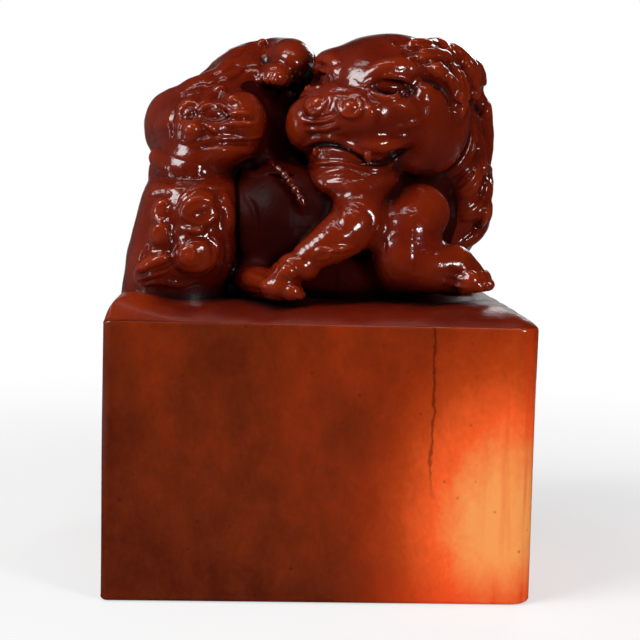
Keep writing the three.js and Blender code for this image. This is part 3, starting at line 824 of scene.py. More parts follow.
def upper_cub_shoulder():
    clay = joined([
        tube([px(188, 117, -4), px(222, 92, 0), px(250, 73, 3), px(278, 70, 5)], (2.9, 3.15, 3.4, 3.6)),
        (tube([px(172, 112, -5.5), px(198, 100, -6), px(226, 88, -4), px(244, 70, 0)],
              (2.1, 2.5, 2.6, 2.6)), 1.5),
    ], at(-0.98, -0.6, 0.5), at(0.1, 0.5, 1.04))
    clay.roughen(0.06, 1.3, 13)
    # The fur along the slope, combed back
    smooth_lines(clay, [
        [(180, 98), (192, 92), (205, 85)],
        [(196, 96), (210, 88), (224, 79)],
        [(206, 80), (222, 72), (238, 66)],
        [(226, 84), (238, 78), (248, 68)],
        [(230, 58), (240, 54), (250, 46)],
    ], 0.28, 0.3)
    return clay


def upper_cub_haunch():
    clay = joined([
        egg(px(290, 66, 1), (3.1, 5.2, 3.1)),
        (tube([px(291, 80, 1), px(290, 110, 2)], (3.0, 3.2)), 1.0),
        *paw(px(275, 75, -3.6), -128, 3.6, 1.45),
        (egg(px(289, 95, -2.6), (0.85, 0.9, 0.6)), 0.2),
    ], at(-0.5, -0.5, 0.45), at(0.15, 0.5, 1.04), 0.3)
    clay.roughen(0.05, 1.5, 17)
    smooth_lines(clay, [[(262, 90), (266, 98), (265, 106)], [(270, 88), (275, 95), (274, 103)]], 0.25, 0.28)
    rolls(clay, [[(262, 41), (258, 52), (257, 64), (259, 75)]], 0.45, 0.3, 0.1)
    return clay


def upper_cub_foreleg():
    path = [at(-0.79, -0.44, 0.53), at(-0.74, -0.51, 0.5), at(-0.685, -0.56, 0.485), at(-0.62, -0.58, 0.48)]
    clay = joined([tube(path, (1.0, 1.15, 1.1, 1.0))], at(-0.98, -0.85, 0.35), at(-0.4, -0.2, 0.7))
    smooth_lines(clay, [[(184, 166), (192, 168), (199, 171)], [(183, 171), (190, 173), (198, 174)]],
                 0.22, 0.22)
    return clay


def lower_cub_head():
    centre = px(188, 228, -11)
    clay = joined([
        tube([at(-0.616, -0.422, 0.45), at(-0.63, -0.489, 0.335), at(-0.65, -0.511, 0.23),
              at(-0.684, -0.489, 0.141), at(-0.7, -0.489, 0.042)], (4.7, 5.6, 5.9, 5.7, 5.7)),
        (egg(px(181, 172, -7), (3.4, 6.0, 3.0)), 1.2),
        (egg(px(162, 262, -12), (3.4, 5.6, 3.2)), 1.0),
    ], centre - (12, 11, 10.5), centre + (11, 11, 11))
    clay.roughen(0.035, 2.2, 11)
    smooth_lines(clay, [[(148, 168), (172, 173), (204, 174), (238, 169)]], 1.2, 1.1, None, 0.2)
    # The eye's round bulge under its brow, the nose, the lips and the whisker pad with its snail curl
    lumps(clay, [(201, 208, (2.2, 2.0, 1.2), 0.5, 0), (228, 216, (1.5, 2.6, 1.3), 0.8, 0),
                 (160, 211, (1.2, 1.5, 1.0), 0.35, 0), (196, 256, (2.5, 2.4, 1.6), 0.65, 0),
                 (160, 234, (1.5, 1.6, 1.2), 0.4, 0), (152, 263, (2.2, 0.85, 1.1), 0.45, -22),
                 (194, 230, (1.3, 0.5, 0.6), 0.2, 0)], 0.3)
    rolls(clay, [
        [(178, 206), (184, 196), (196, 189), (210, 187), (226, 190)],
        [(181, 211), (187, 219), (199, 224), (211, 220), (219, 211)],
        [(183, 209), (191, 201), (203, 199), (217, 205)],
        [(155, 207), (162, 203), (169, 204)],
        [(154, 216), (161, 221), (169, 217)],
        [(188, 229), (196, 232), (204, 229)],
        [(138, 279), (150, 275), (163, 271), (173, 266)],
        [(142, 270), (150, 264), (159, 259), (168, 257)],
        [(146, 285), (160, 282), (180, 285), (196, 281)],
        [(209, 235), (216, 242), (218, 254)],
        [(153, 233), (158, 227), (166, 229)],
    ], 0.45, 0.3, 0.1)
    smooth_lines(clay, [
        [(136, 277), (150, 271), (162, 267), (174, 261)],
        [(180, 244), (188, 239), (199, 237), (208, 240), (213, 249), (212, 262)],
        [(171, 262), (172, 250), (180, 243)],
        [(196, 214), (203, 213), (210, 210)],
        [(149, 246), (144, 254), (139, 263)],
        [(222, 236), (227, 246), (226, 262), (220, 280)],
        [(150, 196), (160, 193), (170, 195)],
        [(222, 196), (216, 203), (222, 216), (218, 230)],
        [(176, 222), (172, 234), (176, 244)],
        [(176, 270), (188, 275), (204, 274), (214, 266)],
    ], 0.42, 0.3)
    curls(clay, [(189, 256, 11, -60)], 0.1)
    return clay


def lower_cub_body():
    path = [at(-0.2, -0.38, 0.3), at(-0.24, -0.1, 0.31), at(-0.3, 0.15, 0.3), at(-0.44, 0.5, 0.24)]
    clay = joined([tube(path, (6.55, 7.3, 7.15, 6.5))], at(-0.92, -0.95, -0.05), at(0.3, 0.95, 0.68))
    clay.cut(egg(px(346, 182, -16), (4.2, 4.0, 4.0)), 1.5)
    rolls(clay, [[(224, 182), (230, 172), (242, 168), (258, 168)], [(240, 178), (248, 176), (258, 176)]],
          0.6, 0.3, 0.2)
    smooth_lines(clay, [
        [(281, 180), (290, 188), (297, 198)],
        [(246, 196), (254, 210), (256, 232), (250, 256)],
    ], 0.25, 0.35)
    return clay


def lower_cub_spine():
    beads = 9
    swell = [(0.65 if i % 2 else 0.42) for i in range(2 * beads + 1)]
    arch = [at(-0.398, 0.043, 0.515), at(-0.308, -0.195, 0.525), at(-0.242, -0.436, 0.51),
            at(-0.185, -0.55, 0.478), at(-0.138, -0.607, 0.437), at(-0.095, -0.645, 0.38)]
    return joined([tube(arch, swell, count=6 * beads + 1)], np.min(arch, 0) - 2, np.max(arch, 0) + 2)


def lower_cub_hind_foot():
    clay = joined([
        tube([px(250, 280, -13), px(264, 284, -16), px(276, 287, -17.5)], (1.9, 1.7, 1.5)),
        *paw(px(284, 288, -18), -6, 3.6, 1.45),
    ], at(-0.55, -1, -0.06), at(0.1, -0.45, 0.28), 0.3)
    smooth_lines(clay, [
        [(242, 287), (256, 290), (272, 291)],
        [(244, 293), (258, 295), (274, 296)],
        [(250, 270), (260, 273), (268, 278)],
    ], 0.25, 0.25)
    return clay


def lower_cub_tail():
    return joined([tube([at(-0.62, 0.66, 0.16), at(-0.72, 0.5, 0.3), at(-0.7, 0.28, 0.42)], (2.0, 2.2, 1.4),
                        0.8, (1, 0, 0.3))],
                  at(-0.95, 0.1, 0), at(-0.4, 0.9, 0.55))


# In order of precedence: each member gives way to the ones above it where they overlap
MEMBERS = {make.__name__: make for make in (
    lioness_head,
    upper_cub_head,
    lower_cub_head,
    lioness_left_foreleg,
    lioness_right_forepaw,
    lioness_right_upper_foreleg,
    lower_cub_hind_foot,
    lower_cub_spine,
    upper_cub_foreleg,
    upper_cub_haunch,
    upper_cub_shoulder,
    lioness_ear,
    lioness_mane,
    lioness_right_hind_paw,
    lioness_right_haunch,
    lioness_tail,
    lower_cub_tail,
    lower_cub_body,
    upper_cub_body,
    lioness_left_haunch,
    lioness_body,
)}
CLAYS = {}

# How far the fillets between members reach, in the fine members less far, and the members that
# stand clear of one another
FILLET = 2.2
FINE_FILLET = 0.7
FINE = {"upper_cub_foreleg", "lower_cub_spine", "lower_cub_hind_foot", "lioness_ear", "lioness_mane"}
CLEAR = (
    ("lower_cub_head", "lower_cub_body"),
    ("lower_cub_spine", "lower_cub_body"),
    ("lioness_head", "upper_cub_haunch"),
    ("lioness_head", "lioness_ear"),
    ("lioness_head", "lioness_mane"),
    ("lioness_ear", "lioness_mane"),
    ("lioness_head", "lower_cub_body"),
    ("upper_cub_head", "upper_cub_foreleg"),
)


def overlap(a, b):
    """The slices of two clays where both have lattice points."""
    low = np.maximum(a.first, b.first)
    high = np.minimum(a.first + a.field.shape, b.first + b.field.shape)
    if (high <= low).any():
        return None
    return tuple(tuple(slice(s, e) for s, e in zip(low - c.first, high - c.first)) for c in (a, b))


def clays():
    """All members' clay, made once. A later member gives way to the earlier ones, whose least distance
    is e, and runs up to them in a fillet: max(min(f, e) - k / 4 (1 - |f - e| / k)^2, -e - hair), with
    k the fillet's reach. Members that stand clear of one another have the carver's line between them
    instead: each sinks by crease exp(-(d / width)^2), d being the distance to the other."""
    if CLAYS:
        return CLAYS
    made = {name: make() for name, make in MEMBERS.items()}
    hair, skin, crease, width = 0.25, 0.06, 0.35, 0.4
    for pair in CLEAR:
        first, second = (made[name] for name in pair)
        own, theirs = overlap(first, second)
        sinks = [crease * np.exp(-(clay.field[part] / width) ** 2)
                 for clay, part in ((second, theirs), (first, own))]
        first.field[own] += sinks[0]
        second.field[theirs] += sinks[1]
    placed = []
    for name, clay in made.items():
        earlier = np.full_like(clay.field, FAR)
        clear = np.full_like(clay.field, FAR)
        for other_name, other in placed:
            shared = overlap(clay, other)
            if shared:
                own, theirs = shared
                least = clear if (other_name, name) in CLEAR else earlier
                np.minimum(least[own], other.field[theirs], out=least[own])
        own_form = clay.field
        reach = FINE_FILLET if name in FINE else FILLET
        fillet = reach / 4 * np.clip(1 - np.abs(own_form - earlier - skin) / reach, 0, None) ** 2
        body = np.minimum(own_form, earlier + skin) - fillet
        clay.field = np.maximum(np.maximum(body, own_form - 0.9 * reach), -np.minimum(earlier, clear) - hair)
        z = (np.arange(clay.field.shape[2]) + clay.first[2]) * PITCH
        np.maximum(clay.field, (TOP - 0.5 - z).astype(np.float32), out=clay.field)
        placed.append((name, clay))
    CLAYS.update(made)
    return CLAYS


CACHE = {}


def blurred(solid, reach):
    """A lattice averaged over boxes that reach so many cells to each side, three times along each
    axis, which comes close to a round blur."""
    for _ in range(3):
        for axis in range(3):
            margins = [(reach + 1, reach) if k == axis else (0, 0) for k in range(3)]
            total = np.cumsum(np.pad(solid, margins, "edge"), axis)
            width = 2 * reach + 1
            ends = np.take(total, range(width, total.shape[axis]), axis)
            starts = np.take(total, range(0, total.shape[axis] - width), axis)
            solid = (ends - starts) / width
    return solid


def shelter():
    """How deep in a hollow each place of the knob lies: the share of stone within about 2 mm, and that
    within about 6 mm, as blurred lattices. It is 0.5 on a flat face, more in a crevice and less on a
    ridge."""
    if "shelter" in CACHE:
        return CACHE["shelter"]
    step = 2
    x, y = BLOCK[0] / 2 + 2, BLOCK[1] / 2 + 2
    whole = Clay((-x, -y, TOP - 3), (x, y, TOP + KNOB + 2))
    for clay in clays().values():
        own, theirs = overlap(whole, clay)
        np.minimum(whole.field[own], clay.field[theirs], out=whole.field[own])
    solid = np.clip(0.5 - whole.field[::step, ::step, ::step] / (step * PITCH), 0, 1)
    x, y, z = ((np.arange(n) * step + first) * PITCH for n, first in zip(solid.shape, whole.first))
    inward = np.minimum(BLOCK[0] / 2 - np.abs(x)[:, None], BLOCK[1] / 2 - np.abs(y)[None, :])
    ground = np.where(inward > 0, TOP + ground_rise(np.maximum(inward, 0)), TOP - 9)
    solid = np.maximum(solid, z < ground[:, :, None])
    near = blurred(solid, max(1, round(1.1 / (step * PITCH))))
    wide = blurred(solid, max(2, round(3.4 / (step * PITCH))))
    CACHE["shelter"] = (near, wide, whole.first * PITCH, step * PITCH)
    return CACHE["shelter"]


def sheltered(points):
    """The near and the wide shelter at any places, in mm."""
    near, wide, first, pitch = shelter()
    return trilinear((near, wide), (points - first) / pitch)


# Surfaces of the block and the carved ground


def outline(inset, params, corners):
    """The block's outline: straight sides and round corners. params run from 0 to 1 round it;
    corners gives the radius at the front right, back right, back left and front left."""
    x, y = BLOCK[0] / 2 - inset, BLOCK[1] / 2 - inset
    turns = np.floor(params * 4).astype(int) % 4
    t = params * 4 % 1
    radii = np.maximum(np.array(corners)[turns] - inset, 0.02)
    nexts = np.maximum(np.array(corners)[(turns + 1) % 4] - inset, 0.02)
    sx = np.array([1, 1, -1, -1])
    sy = np.array([-1, 1, 1, -1])
    arc = 0.24
    a = (turns - 1) * math.pi / 2 + np.clip(t / arc, 0, 1) * math.pi / 2
    on_arc = np.stack([sx[turns] * (x - radii) + radii * np.cos(a),
                       sy[turns] * (y - radii) + radii * np.sin(a)], -1)
    k = np.clip((t - arc) / (1 - arc), 0, 1)[:, None]
    after = (turns + 1) % 4
    b = (after - 1) * math.pi / 2
    end = np.stack([sx[after] * (x - nexts) + nexts * np.cos(b),
                    sy[after] * (y - nexts) + nexts * np.sin(b)], -1)
    return on_arc * (1 - k) + end * k


def waves(points, amount, size, seed):
    """Smooth unevenness: amount times the mean of six sines with random directions, in mm."""
    source = np.random.default_rng(seed)
    total = 0
    for _ in range(6):
        way = source.normal(size=3)
        way *= 2 * math.pi / size / np.linalg.norm(way) * source.uniform(0.6, 1.5)
        total = total + np.sin(points @ way + source.uniform(0, 6.3))
    return amount * total / 6 ** 0.5


def lathe_rings(rings):
    """Points and faces of a closed skin from rings of equal count, from the lower middle to the
    upper; the first and the last close on their own mean point."""
    count = len(rings[0])
    points = np.vstack([*rings, rings[0].mean(0), rings[-1].mean(0)])
    i = np.arange(count)
    j = (i + 1) % count
    quads = []
    for k in range(len(rings) - 1):
        p = k * count
        quads.append(np.stack([p + i, p + j, p + count + j, p + count + i], 1))
    last = (len(rings) - 1) * count
    low, high = len(points) - 2, len(points) - 1
    caps = [(low, b, a) for a, b in zip(i, j)] + [(high, last + a, last + b) for a, b in zip(i, j)]
    return points, np.vstack(quads), caps


def block_surface(corners, edge):
    """The block: its outline carried up a profile with small rounded edges at the foot and the top."""
    params = np.linspace(0, 1, OUTLINE_POINTS, endpoint=False)
    quarter = np.linspace(0, math.pi / 2, 5)
    profile = [(s, 0.0) for s in (18, 12, 6, 3, 1.5)]
    profile += [(edge * (1 - math.sin(a)), edge * (1 - math.cos(a))) for a in quarter]
    profile += [(0.0, z) for z in np.linspace(edge, TOP - edge, 60)[1:-1]]
    profile += [(edge * (1 - math.cos(a)), TOP - edge * (1 - math.sin(a))) for a in quarter]
    profile += [(s, TOP) for s in (1.5, 3, 6, 12, 18)]
    rings = []
    for inset, z in profile:
        flat = outline(inset, params, corners)
        ring = np.column_stack([flat, np.full(len(flat), z)])
        if inset < 0.02:
            inward = -ring * (1, 1, 0) / np.linalg.norm(ring[:, :2], axis=1)[:, None]
            ring += inward * (0.05 + waves(ring, 0.03, 16, 2))[:, None]
        rings.append(ring)
    return lathe_rings(rings)


def ground_rise(inward):
    """How far the carved ground has risen at a way in from its rim: 1.8 (1 - exp(-inward / 1.8))."""
    return 1.8 * (1 - np.exp(-inward / 1.8))


def ground_surface(corners, edge):
    """The carved ground: rings inside the outline. It leaves the block's rounded rim where that leans
    by 45 degrees, and swells up on the left."""
    params = np.linspace(0, 1, OUTLINE_POINTS, endpoint=False)
    rings = [np.column_stack([outline(i, params, corners), np.full(OUTLINE_POINTS, TOP - 0.2)])
             for i in (18, 9, 3, edge)]
    # 0.29 is 1 - cos 45 degrees
    start = drop = 0.29 * edge
    insets = [start + np.array([0, 0.1, 0.2, 0.3, 0.45]), np.linspace(start + 0.6, 8, 34), [10, 14, 18, 21]]
    for inset in np.concatenate(insets):
        flat = outline(inset, params, corners)
        x, y = flat.T
        inward = inset - start
        left = np.exp(-((x + BLOCK[0] / 2) / 5) ** 2) * np.clip((12 - y) / 14, 0, 1)
        ring = np.column_stack([flat, np.full(OUTLINE_POINTS, TOP - drop)])
        ring[:, 2] += ground_rise(inward) + 1.5 * left * (1 - math.exp(-inward / 0.6))
        ring[:, 2] += waves(ring, 0.09, 5, 9) * min(1, inward)
        rings.append(ring)
    return lathe_rings(rings)


# Finishes


def linear(hex_colour):
    """An sRGB hex colour as linear RGBA."""
    parts = [int(hex_colour[i:i + 2], 16) / 255 for i in (1, 3, 5)]
    return tuple(c / 12.92 if c <= 0.04045 else ((c + 0.055) / 1.055) ** 2.4 for c in parts) + (1.0,)


def node(tree, kind, settings=None, out=0, **inputs):
    """Adds a node and returns its output out, or the node itself where out is None. settings are its
    own properties; inputs are values or the sockets to link, each named by its socket in lower case
    with _ for a space, or by i and its number."""
    made = tree.nodes.new(kind)
    for name, value in (settings or {}).items():
        setattr(made, name, value)
    for name, value in inputs.items():
        if name[0] == "i" and name[1:].isdigit():
            socket = made.inputs[int(name[1:])]
        else:
            socket = next(s for s in made.inputs if s.name.lower().replace(" ", "_") == name)
        if isinstance(value, bpy.types.NodeSocket):
            tree.links.new(value, socket)
        else:
            socket.default_value = value
    return made if out is None else made.outputs[out]


MATH = "ShaderNodeMath"
NOISE = "ShaderNodeTexNoise"
RANGE = "ShaderNodeMapRange"
MIX = "ShaderNodeMix"
SMOOTH = {"interpolation_type": "SMOOTHSTEP"}
SUM = {"operation": "ADD"}
PRODUCT = {"operation": "MULTIPLY"}
SCALED_SUM = {"operation": "MULTIPLY_ADD"}
LARGER = {"operation": "MAXIMUM"}
LENGTH = {"operation": "LENGTH"}
COLOUR = {"data_type": "RGBA"}


def new_material(name):
    material = bpy.data.materials.new(name)
    material.use_nodes = True
    material.node_tree.nodes.clear()
    return material, material.node_tree


def stone(name, finish, kind):
    """Translucent soapstone, hand polished: a waxy gloss over cloudy red-brown. Painted glow: lighter and
    more orange on thin ridges and in the block's clear zone, whose lighter tone is partly the stone's own.
    Painted shade: nearly black in the cuts, and darker in the gaps between the animals."""
    material, tree = new_material(name)
    place = node(tree, "ShaderNodeTexCoord", out="Object")
    # Clouds of 9 mm, wisps of 2.2 mm and grain of 0.5 mm, drawn out along the stone's bed
    bed = node(tree, "ShaderNodeMapping", i0=place, i2=(0, 0.2, 0.1), i3=(1, 1, 0.7))
    clouds = node(tree, NOISE, vector=bed, scale=1000 / 9, detail=3.0, roughness=0.5)
    wisps = node(tree, NOISE, vector=bed, scale=1000 / 2.2, detail=4.0, roughness=0.65, distortion=0.6)
    grain = node(tree, NOISE, vector=bed, scale=1000 / 0.5, detail=2.0)
    tone = node(tree, MATH, SCALED_SUM, i0=clouds, i1=0.42, i2=-0.05)
    tone = node(tree, MATH, SCALED_SUM, i0=wisps, i1=0.17, i2=tone)
    tone = node(tree, MATH, SCALED_SUM, i0=grain, i1=0.1, i2=tone)
    if kind == "block":
        tone, flush, vein = clear_zone(tree, place, clouds, wisps, tone)
    ramp = node(tree, "ShaderNodeValToRGB", out=None, fac=tone)
    stops = finish.stops(kind)
    ramp.color_ramp.elements[0].position = stops[0][0]
    ramp.color_ramp.elements[1].position = stops[-1][0]
    for position, _ in stops[1:-1]:
        ramp.color_ramp.elements.new(position)
    for element, (_, colour) in zip(ramp.color_ramp.elements, stops):
        element.color = colour
    colour = ramp.outputs[0]
    # The polish is dull on the ground, and on the animals in the gaps that open to the front
    dulled = {"deep": 0.3, "ground": 0.2}.get(kind, 0.0)
    depth = node(tree, "ShaderNodeSeparateXYZ", out=1, vector=place)
    front = node(tree, RANGE, SMOOTH, i0=depth, i1=11 * MM, i2=3 * MM, i3=1.0 if kind == "ground" else 0.0)
    dull = node(tree, MATH, PRODUCT, i0=front, i1=dulled)
    rough = node(tree, MATH, SCALED_SUM, i0=wisps, i1=0.12, i2=finish.roughness)
    rough = node(tree, MATH, SUM, i0=rough, i1=dull)
    gloss = node(tree, MATH, SCALED_SUM, i0=dull, i1=-3.0 * finish.gloss, i2=finish.gloss)
    if kind == "block":
        colour = node(tree, MIX, COLOUR, 2, i0=flush, i6=colour, i7=tuple(finish.flush))
        colour = node(tree, MIX, COLOUR, 2, i0=vein, i6=colour, i7=tuple(finish.crevice))
    else:
        # Painted shade: the deep look is darker towards the front, where the gaps open
        if kind == "deep":
            colour = node(tree, MIX, COLOUR, 2, i0=front, i6=tuple(finish.body), i7=colour)
        # Painted shade: little light gets into the stone in the gaps between the animals, so the colour is
        # darkened there towards the deep tone
        within = node(tree, "ShaderNodeAttribute", {"attribute_name": "wide_shelter"}, "Fac")
        dim = node(tree, RANGE, SMOOTH, i0=within, i1=0.42, i2=0.72, i3=0.0, i4=0.9)
        colour = node(tree, MIX, COLOUR, 2, i0=dim, i6=colour, i7=tuple(finish.deep))
        # Painted shade: where much stone lies round a point, in the cuts and creases, the colour goes nearly
        # black
        hollow = node(tree, "ShaderNodeAttribute", {"attribute_name": "near_shelter"}, "Fac")
        shade = node(tree, RANGE, SMOOTH, i0=hollow, i1=0.53, i2=0.74)
        # Painted glow: thin ridges take the warm tone, as light shines through thin stone
        ridge = node(tree, RANGE, i0=hollow, i1=0.47, i2=0.3, i3=0.0, i4=0.6)
        if kind not in ("deep", "spine"):
            colour = node(tree, MIX, COLOUR, 2, i0=ridge, i6=colour, i7=tuple(finish.warm))
        colour = node(tree, MIX, COLOUR, 2, i0=shade, i6=colour, i7=tuple(finish.crevice))
        rough = node(tree, MATH, SCALED_SUM, i0=shade, i1=0.15, i2=rough)
    # Dark flecks of up to 0.4 mm, few and far between
    flecks = node(tree, "ShaderNodeTexVoronoi", vector=place, scale=1000 / 2.6, randomness=1.0)
    fleck = node(tree, RANGE, i0=flecks, i1=0.09, i2=0.03, i3=0.0, i4=0.4)
    colour = node(tree, MIX, COLOUR, 2, i0=fleck, i6=colour, i7=tuple(finish.crevice))
    # The hand polish leaves shallow facets 1.6 mm across, and strokes 0.3 mm apart
    facets = node(tree, NOISE, vector=place, scale=1000 / 1.6, detail=3.0)
    drawn = node(tree, "ShaderNodeMapping", i0=place, i2=(0.3, 0.5, 0.7), i3=(1, 5, 1))
    strokes = node(tree, NOISE, vector=drawn, scale=1000 / 1.6, detail=3.0)
    facet_share, stroke_share = (0.15, 0.03) if kind == "block" else (0.9, 0.25)
    height = node(tree, MATH, PRODUCT, i0=strokes, i1=stroke_share)
    height = node(tree, MATH, SCALED_SUM, i0=facets, i1=facet_share, i2=height)
    bump = node(tree, "ShaderNodeBump", strength=0.5, distance=0.25 * MM, height=height)
    shader = node(tree, "ShaderNodeBsdfPrincipled", base_color=colour, roughness=rough, normal=bump, ior=1.5,
                  specular_ior_level=gloss, subsurface_weight=0.2,
                  subsurface_radius=(1.0, 0.3, 0.12),
                  subsurface_scale=1.6 * MM)
    node(tree, "ShaderNodeOutputMaterial", out=None, surface=shader)
    return material


def clear_zone(tree, place, clouds, wisps, tone):
    """The front's clear zone at its lower right: a lighter tone of the stone, with a painted glow of lamp
    light shining through it. Returns the tone with the zone in it, the strength of the red flush round the
    zone and that of the dark vein that runs down from the top edge."""
    # The distance from the zone's middle in shares of its reach, 11 mm to the side and 16 mm up, and the
    # tone that falls
    # off with it over a cloudy rim: partly the stone's lighter tone, partly painted glow
    reached = node(tree, "ShaderNodeMapping", {"vector_type": "POINT"}, i0=place,
                   i1=(-19 / 11, 24 / 40, -8 / 16), i3=(1000 / 11, 1000 / 40, 1000 / 16))
    far = node(tree, "ShaderNodeVectorMath", LENGTH, "Value", i0=reached)
    far = node(tree, MATH, SCALED_SUM, i0=clouds, i1=0.5, i2=far)
    clear = node(tree, RANGE, SMOOTH, i0=far, i1=1.95, i2=0.35)
    xyz = node(tree, "ShaderNodeSeparateXYZ", out=None, vector=place).outputs
    # Painted light: the front darkens towards its left and lightens towards its right. The tone also rises
    # from the foot to the top
    side = node(tree, RANGE, i0=xyz[0], i1=-22 * MM, i2=22 * MM, i3=-0.1, i4=-0.02)
    tone = node(tree, MATH, SUM, i0=tone, i1=side)
    height = node(tree, RANGE, i0=xyz[2], i1=0.0, i2=29 * MM, i3=-0.05, i4=0.04)
    tone = node(tree, MATH, SUM, i0=tone, i1=height)
    tone = node(tree, MATH, SCALED_SUM, i0=clear, i1=0.74, i2=tone)
    # Upright bands of red at the right, 1.5 mm wide, and red along the foot
    upright = node(tree, "ShaderNodeMapping", i0=place, i3=(1, 1, 0.08))
    bands = node(tree, NOISE, vector=upright, scale=1000 / 1.5)
    band = node(tree, RANGE, i0=bands, i1=0.5, i2=0.8)
    right = node(tree, RANGE, SMOOTH, i0=xyz[0], i1=15 * MM, i2=22 * MM, i3=0.0, i4=0.8)
    flush = node(tree, MATH, PRODUCT, i0=band, i1=right)
    foot = node(tree, RANGE, SMOOTH, i0=xyz[2], i1=5 * MM, i2=0.0, i3=0.0, i4=0.55)
    flush = node(tree, MATH, SUM, i0=flush, i1=node(tree, MATH, PRODUCT, i0=foot, i1=clear))
    # The vein wavers about x = 11.45 mm
    off = node(tree, MATH, SCALED_SUM, i0=wisps, i1=1.6 * MM, i2=-(11.45 + 0.8) * MM)
    off = node(tree, MATH, SUM, i0=xyz[0], i1=off)
    off = node(tree, MATH, {"operation": "ABSOLUTE"}, i0=off)
    line = node(tree, RANGE, SMOOTH, i0=off, i1=0.28 * MM, i2=0.0)
    length = node(tree, RANGE, SMOOTH, i0=xyz[2], i1=10 * MM, i2=16 * MM, i3=0.0, i4=0.6)
    return tone, flush, node(tree, MATH, PRODUCT, i0=line, i1=length)


# Pieces


def put_mesh(name, points, quads, caps=()):
    """A smooth mesh object from points in mm, quads as an array and the few triangles of its caps."""
    mesh = bpy.data.meshes.new(name)
    loops = np.concatenate([np.asarray(quads).ravel(), np.asarray(caps, int).ravel()]).astype(np.int32)
    starts = [np.arange(len(quads)) * 4, len(quads) * 4 + np.arange(len(caps)) * 3]
    starts = np.concatenate(starts).astype(np.int32)
    mesh.vertices.add(len(points))
    mesh.vertices.foreach_set("co", (np.asarray(points) * MM).astype(np.float32).ravel())
    mesh.loops.add(len(loops))
    mesh.loops.foreach_set("vertex_index", loops)
    mesh.polygons.add(len(starts))
    mesh.polygons.foreach_set("loop_start", starts)
    mesh.polygons.foreach_set("use_smooth", np.ones(len(starts), bool))
    mesh.update(calc_edges=True)
    mesh.validate()
    made = bpy.data.objects.new(name, mesh)
    bpy.context.scene.collection.objects.link(made)
    return made


def dress(piece, material, node_name):
    """Gives a piece its stone and its place in the frame."""
    piece.data.materials.append(material)
    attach(piece, "root")
    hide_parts(node_name)
    return piece


def with_shelter(piece, points):
    """Writes the near and the wide shelter of its points on a piece's mesh."""
    for name, values in zip(("near_shelter", "wide_shelter"), sheltered(points)):
        made = piece.data.attributes.new(name, "FLOAT", "POINT")
        made.data.foreach_set("value", values.astype(np.float32))
    return piece


def within(points):
    """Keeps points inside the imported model's box."""
    low, high = (np.array(c) / MM for c in CAD_BOX)
    return np.clip(points, low, high)


def carve(prefix):
    """Makes the surfaces of the members whose names start so."""
    for name in [member for member in MEMBERS if member.startswith(prefix)]:
        points, quads = without_crumbs(*clays()[name].surface())
        points = within(points)
        piece = put_mesh("carved_" + name, points, quads)
        with_shelter(piece, points)
        if 2 * len(quads) > MOST_TRIANGLES:
            thinned = piece.modifiers.new("thinned", "DECIMATE")
            thinned.ratio = MOST_TRIANGLES / (2 * len(quads))
        dress(piece, carved_stone(LOOKS.get(name, "carved")), name)


# The members in the gaps; the deep look paints them darker, as shade. The foreleg has the carved look of the
# rest, and the spine a darker one of its own
DEEP_MEMBERS = {
    "lower_cub_spine", "upper_cub_foreleg", "lower_cub_tail", "lower_cub_body", "upper_cub_body",
    "lioness_left_haunch", "lioness_body",
}
LOOKS = {name: "deep" for name in DEEP_MEMBERS - {"upper_cub_foreleg"}}
LOOKS["lower_cub_spine"] = "spine"


class SealStampSizes(bpy.types.PropertyGroup):
    """Sizes of the block's edges and of the light."""

    worn_edge: bpy.props.FloatProperty(
        name="Worn edge", description="Radius of the worn front right edge", default=2.4 * MM, unit="LENGTH")
    edge: bpy.props.FloatProperty(
        name="Edges", description="Radius of the other upright edges", default=0.9 * MM, unit="LENGTH")
    rim: bpy.props.FloatProperty(
        name="Rim", description="Radius of the edges round the top and the foot", default=0.5 * MM,
        unit="LENGTH")
    light: bpy.props.FloatProperty(
        name="Light", description="Strength of the studio lamps as a share", default=1.0, min=0.0)

    def corners(self):
        return [self.worn_edge / MM, self.edge / MM, self.edge / MM, self.edge / MM]


def colour_property(name, description, hex_colour):
    return bpy.props.FloatVectorProperty(
        name=name, description=description, default=linear(hex_colour), size=4, min=0.0, max=1.0,
        subtype="COLOR")


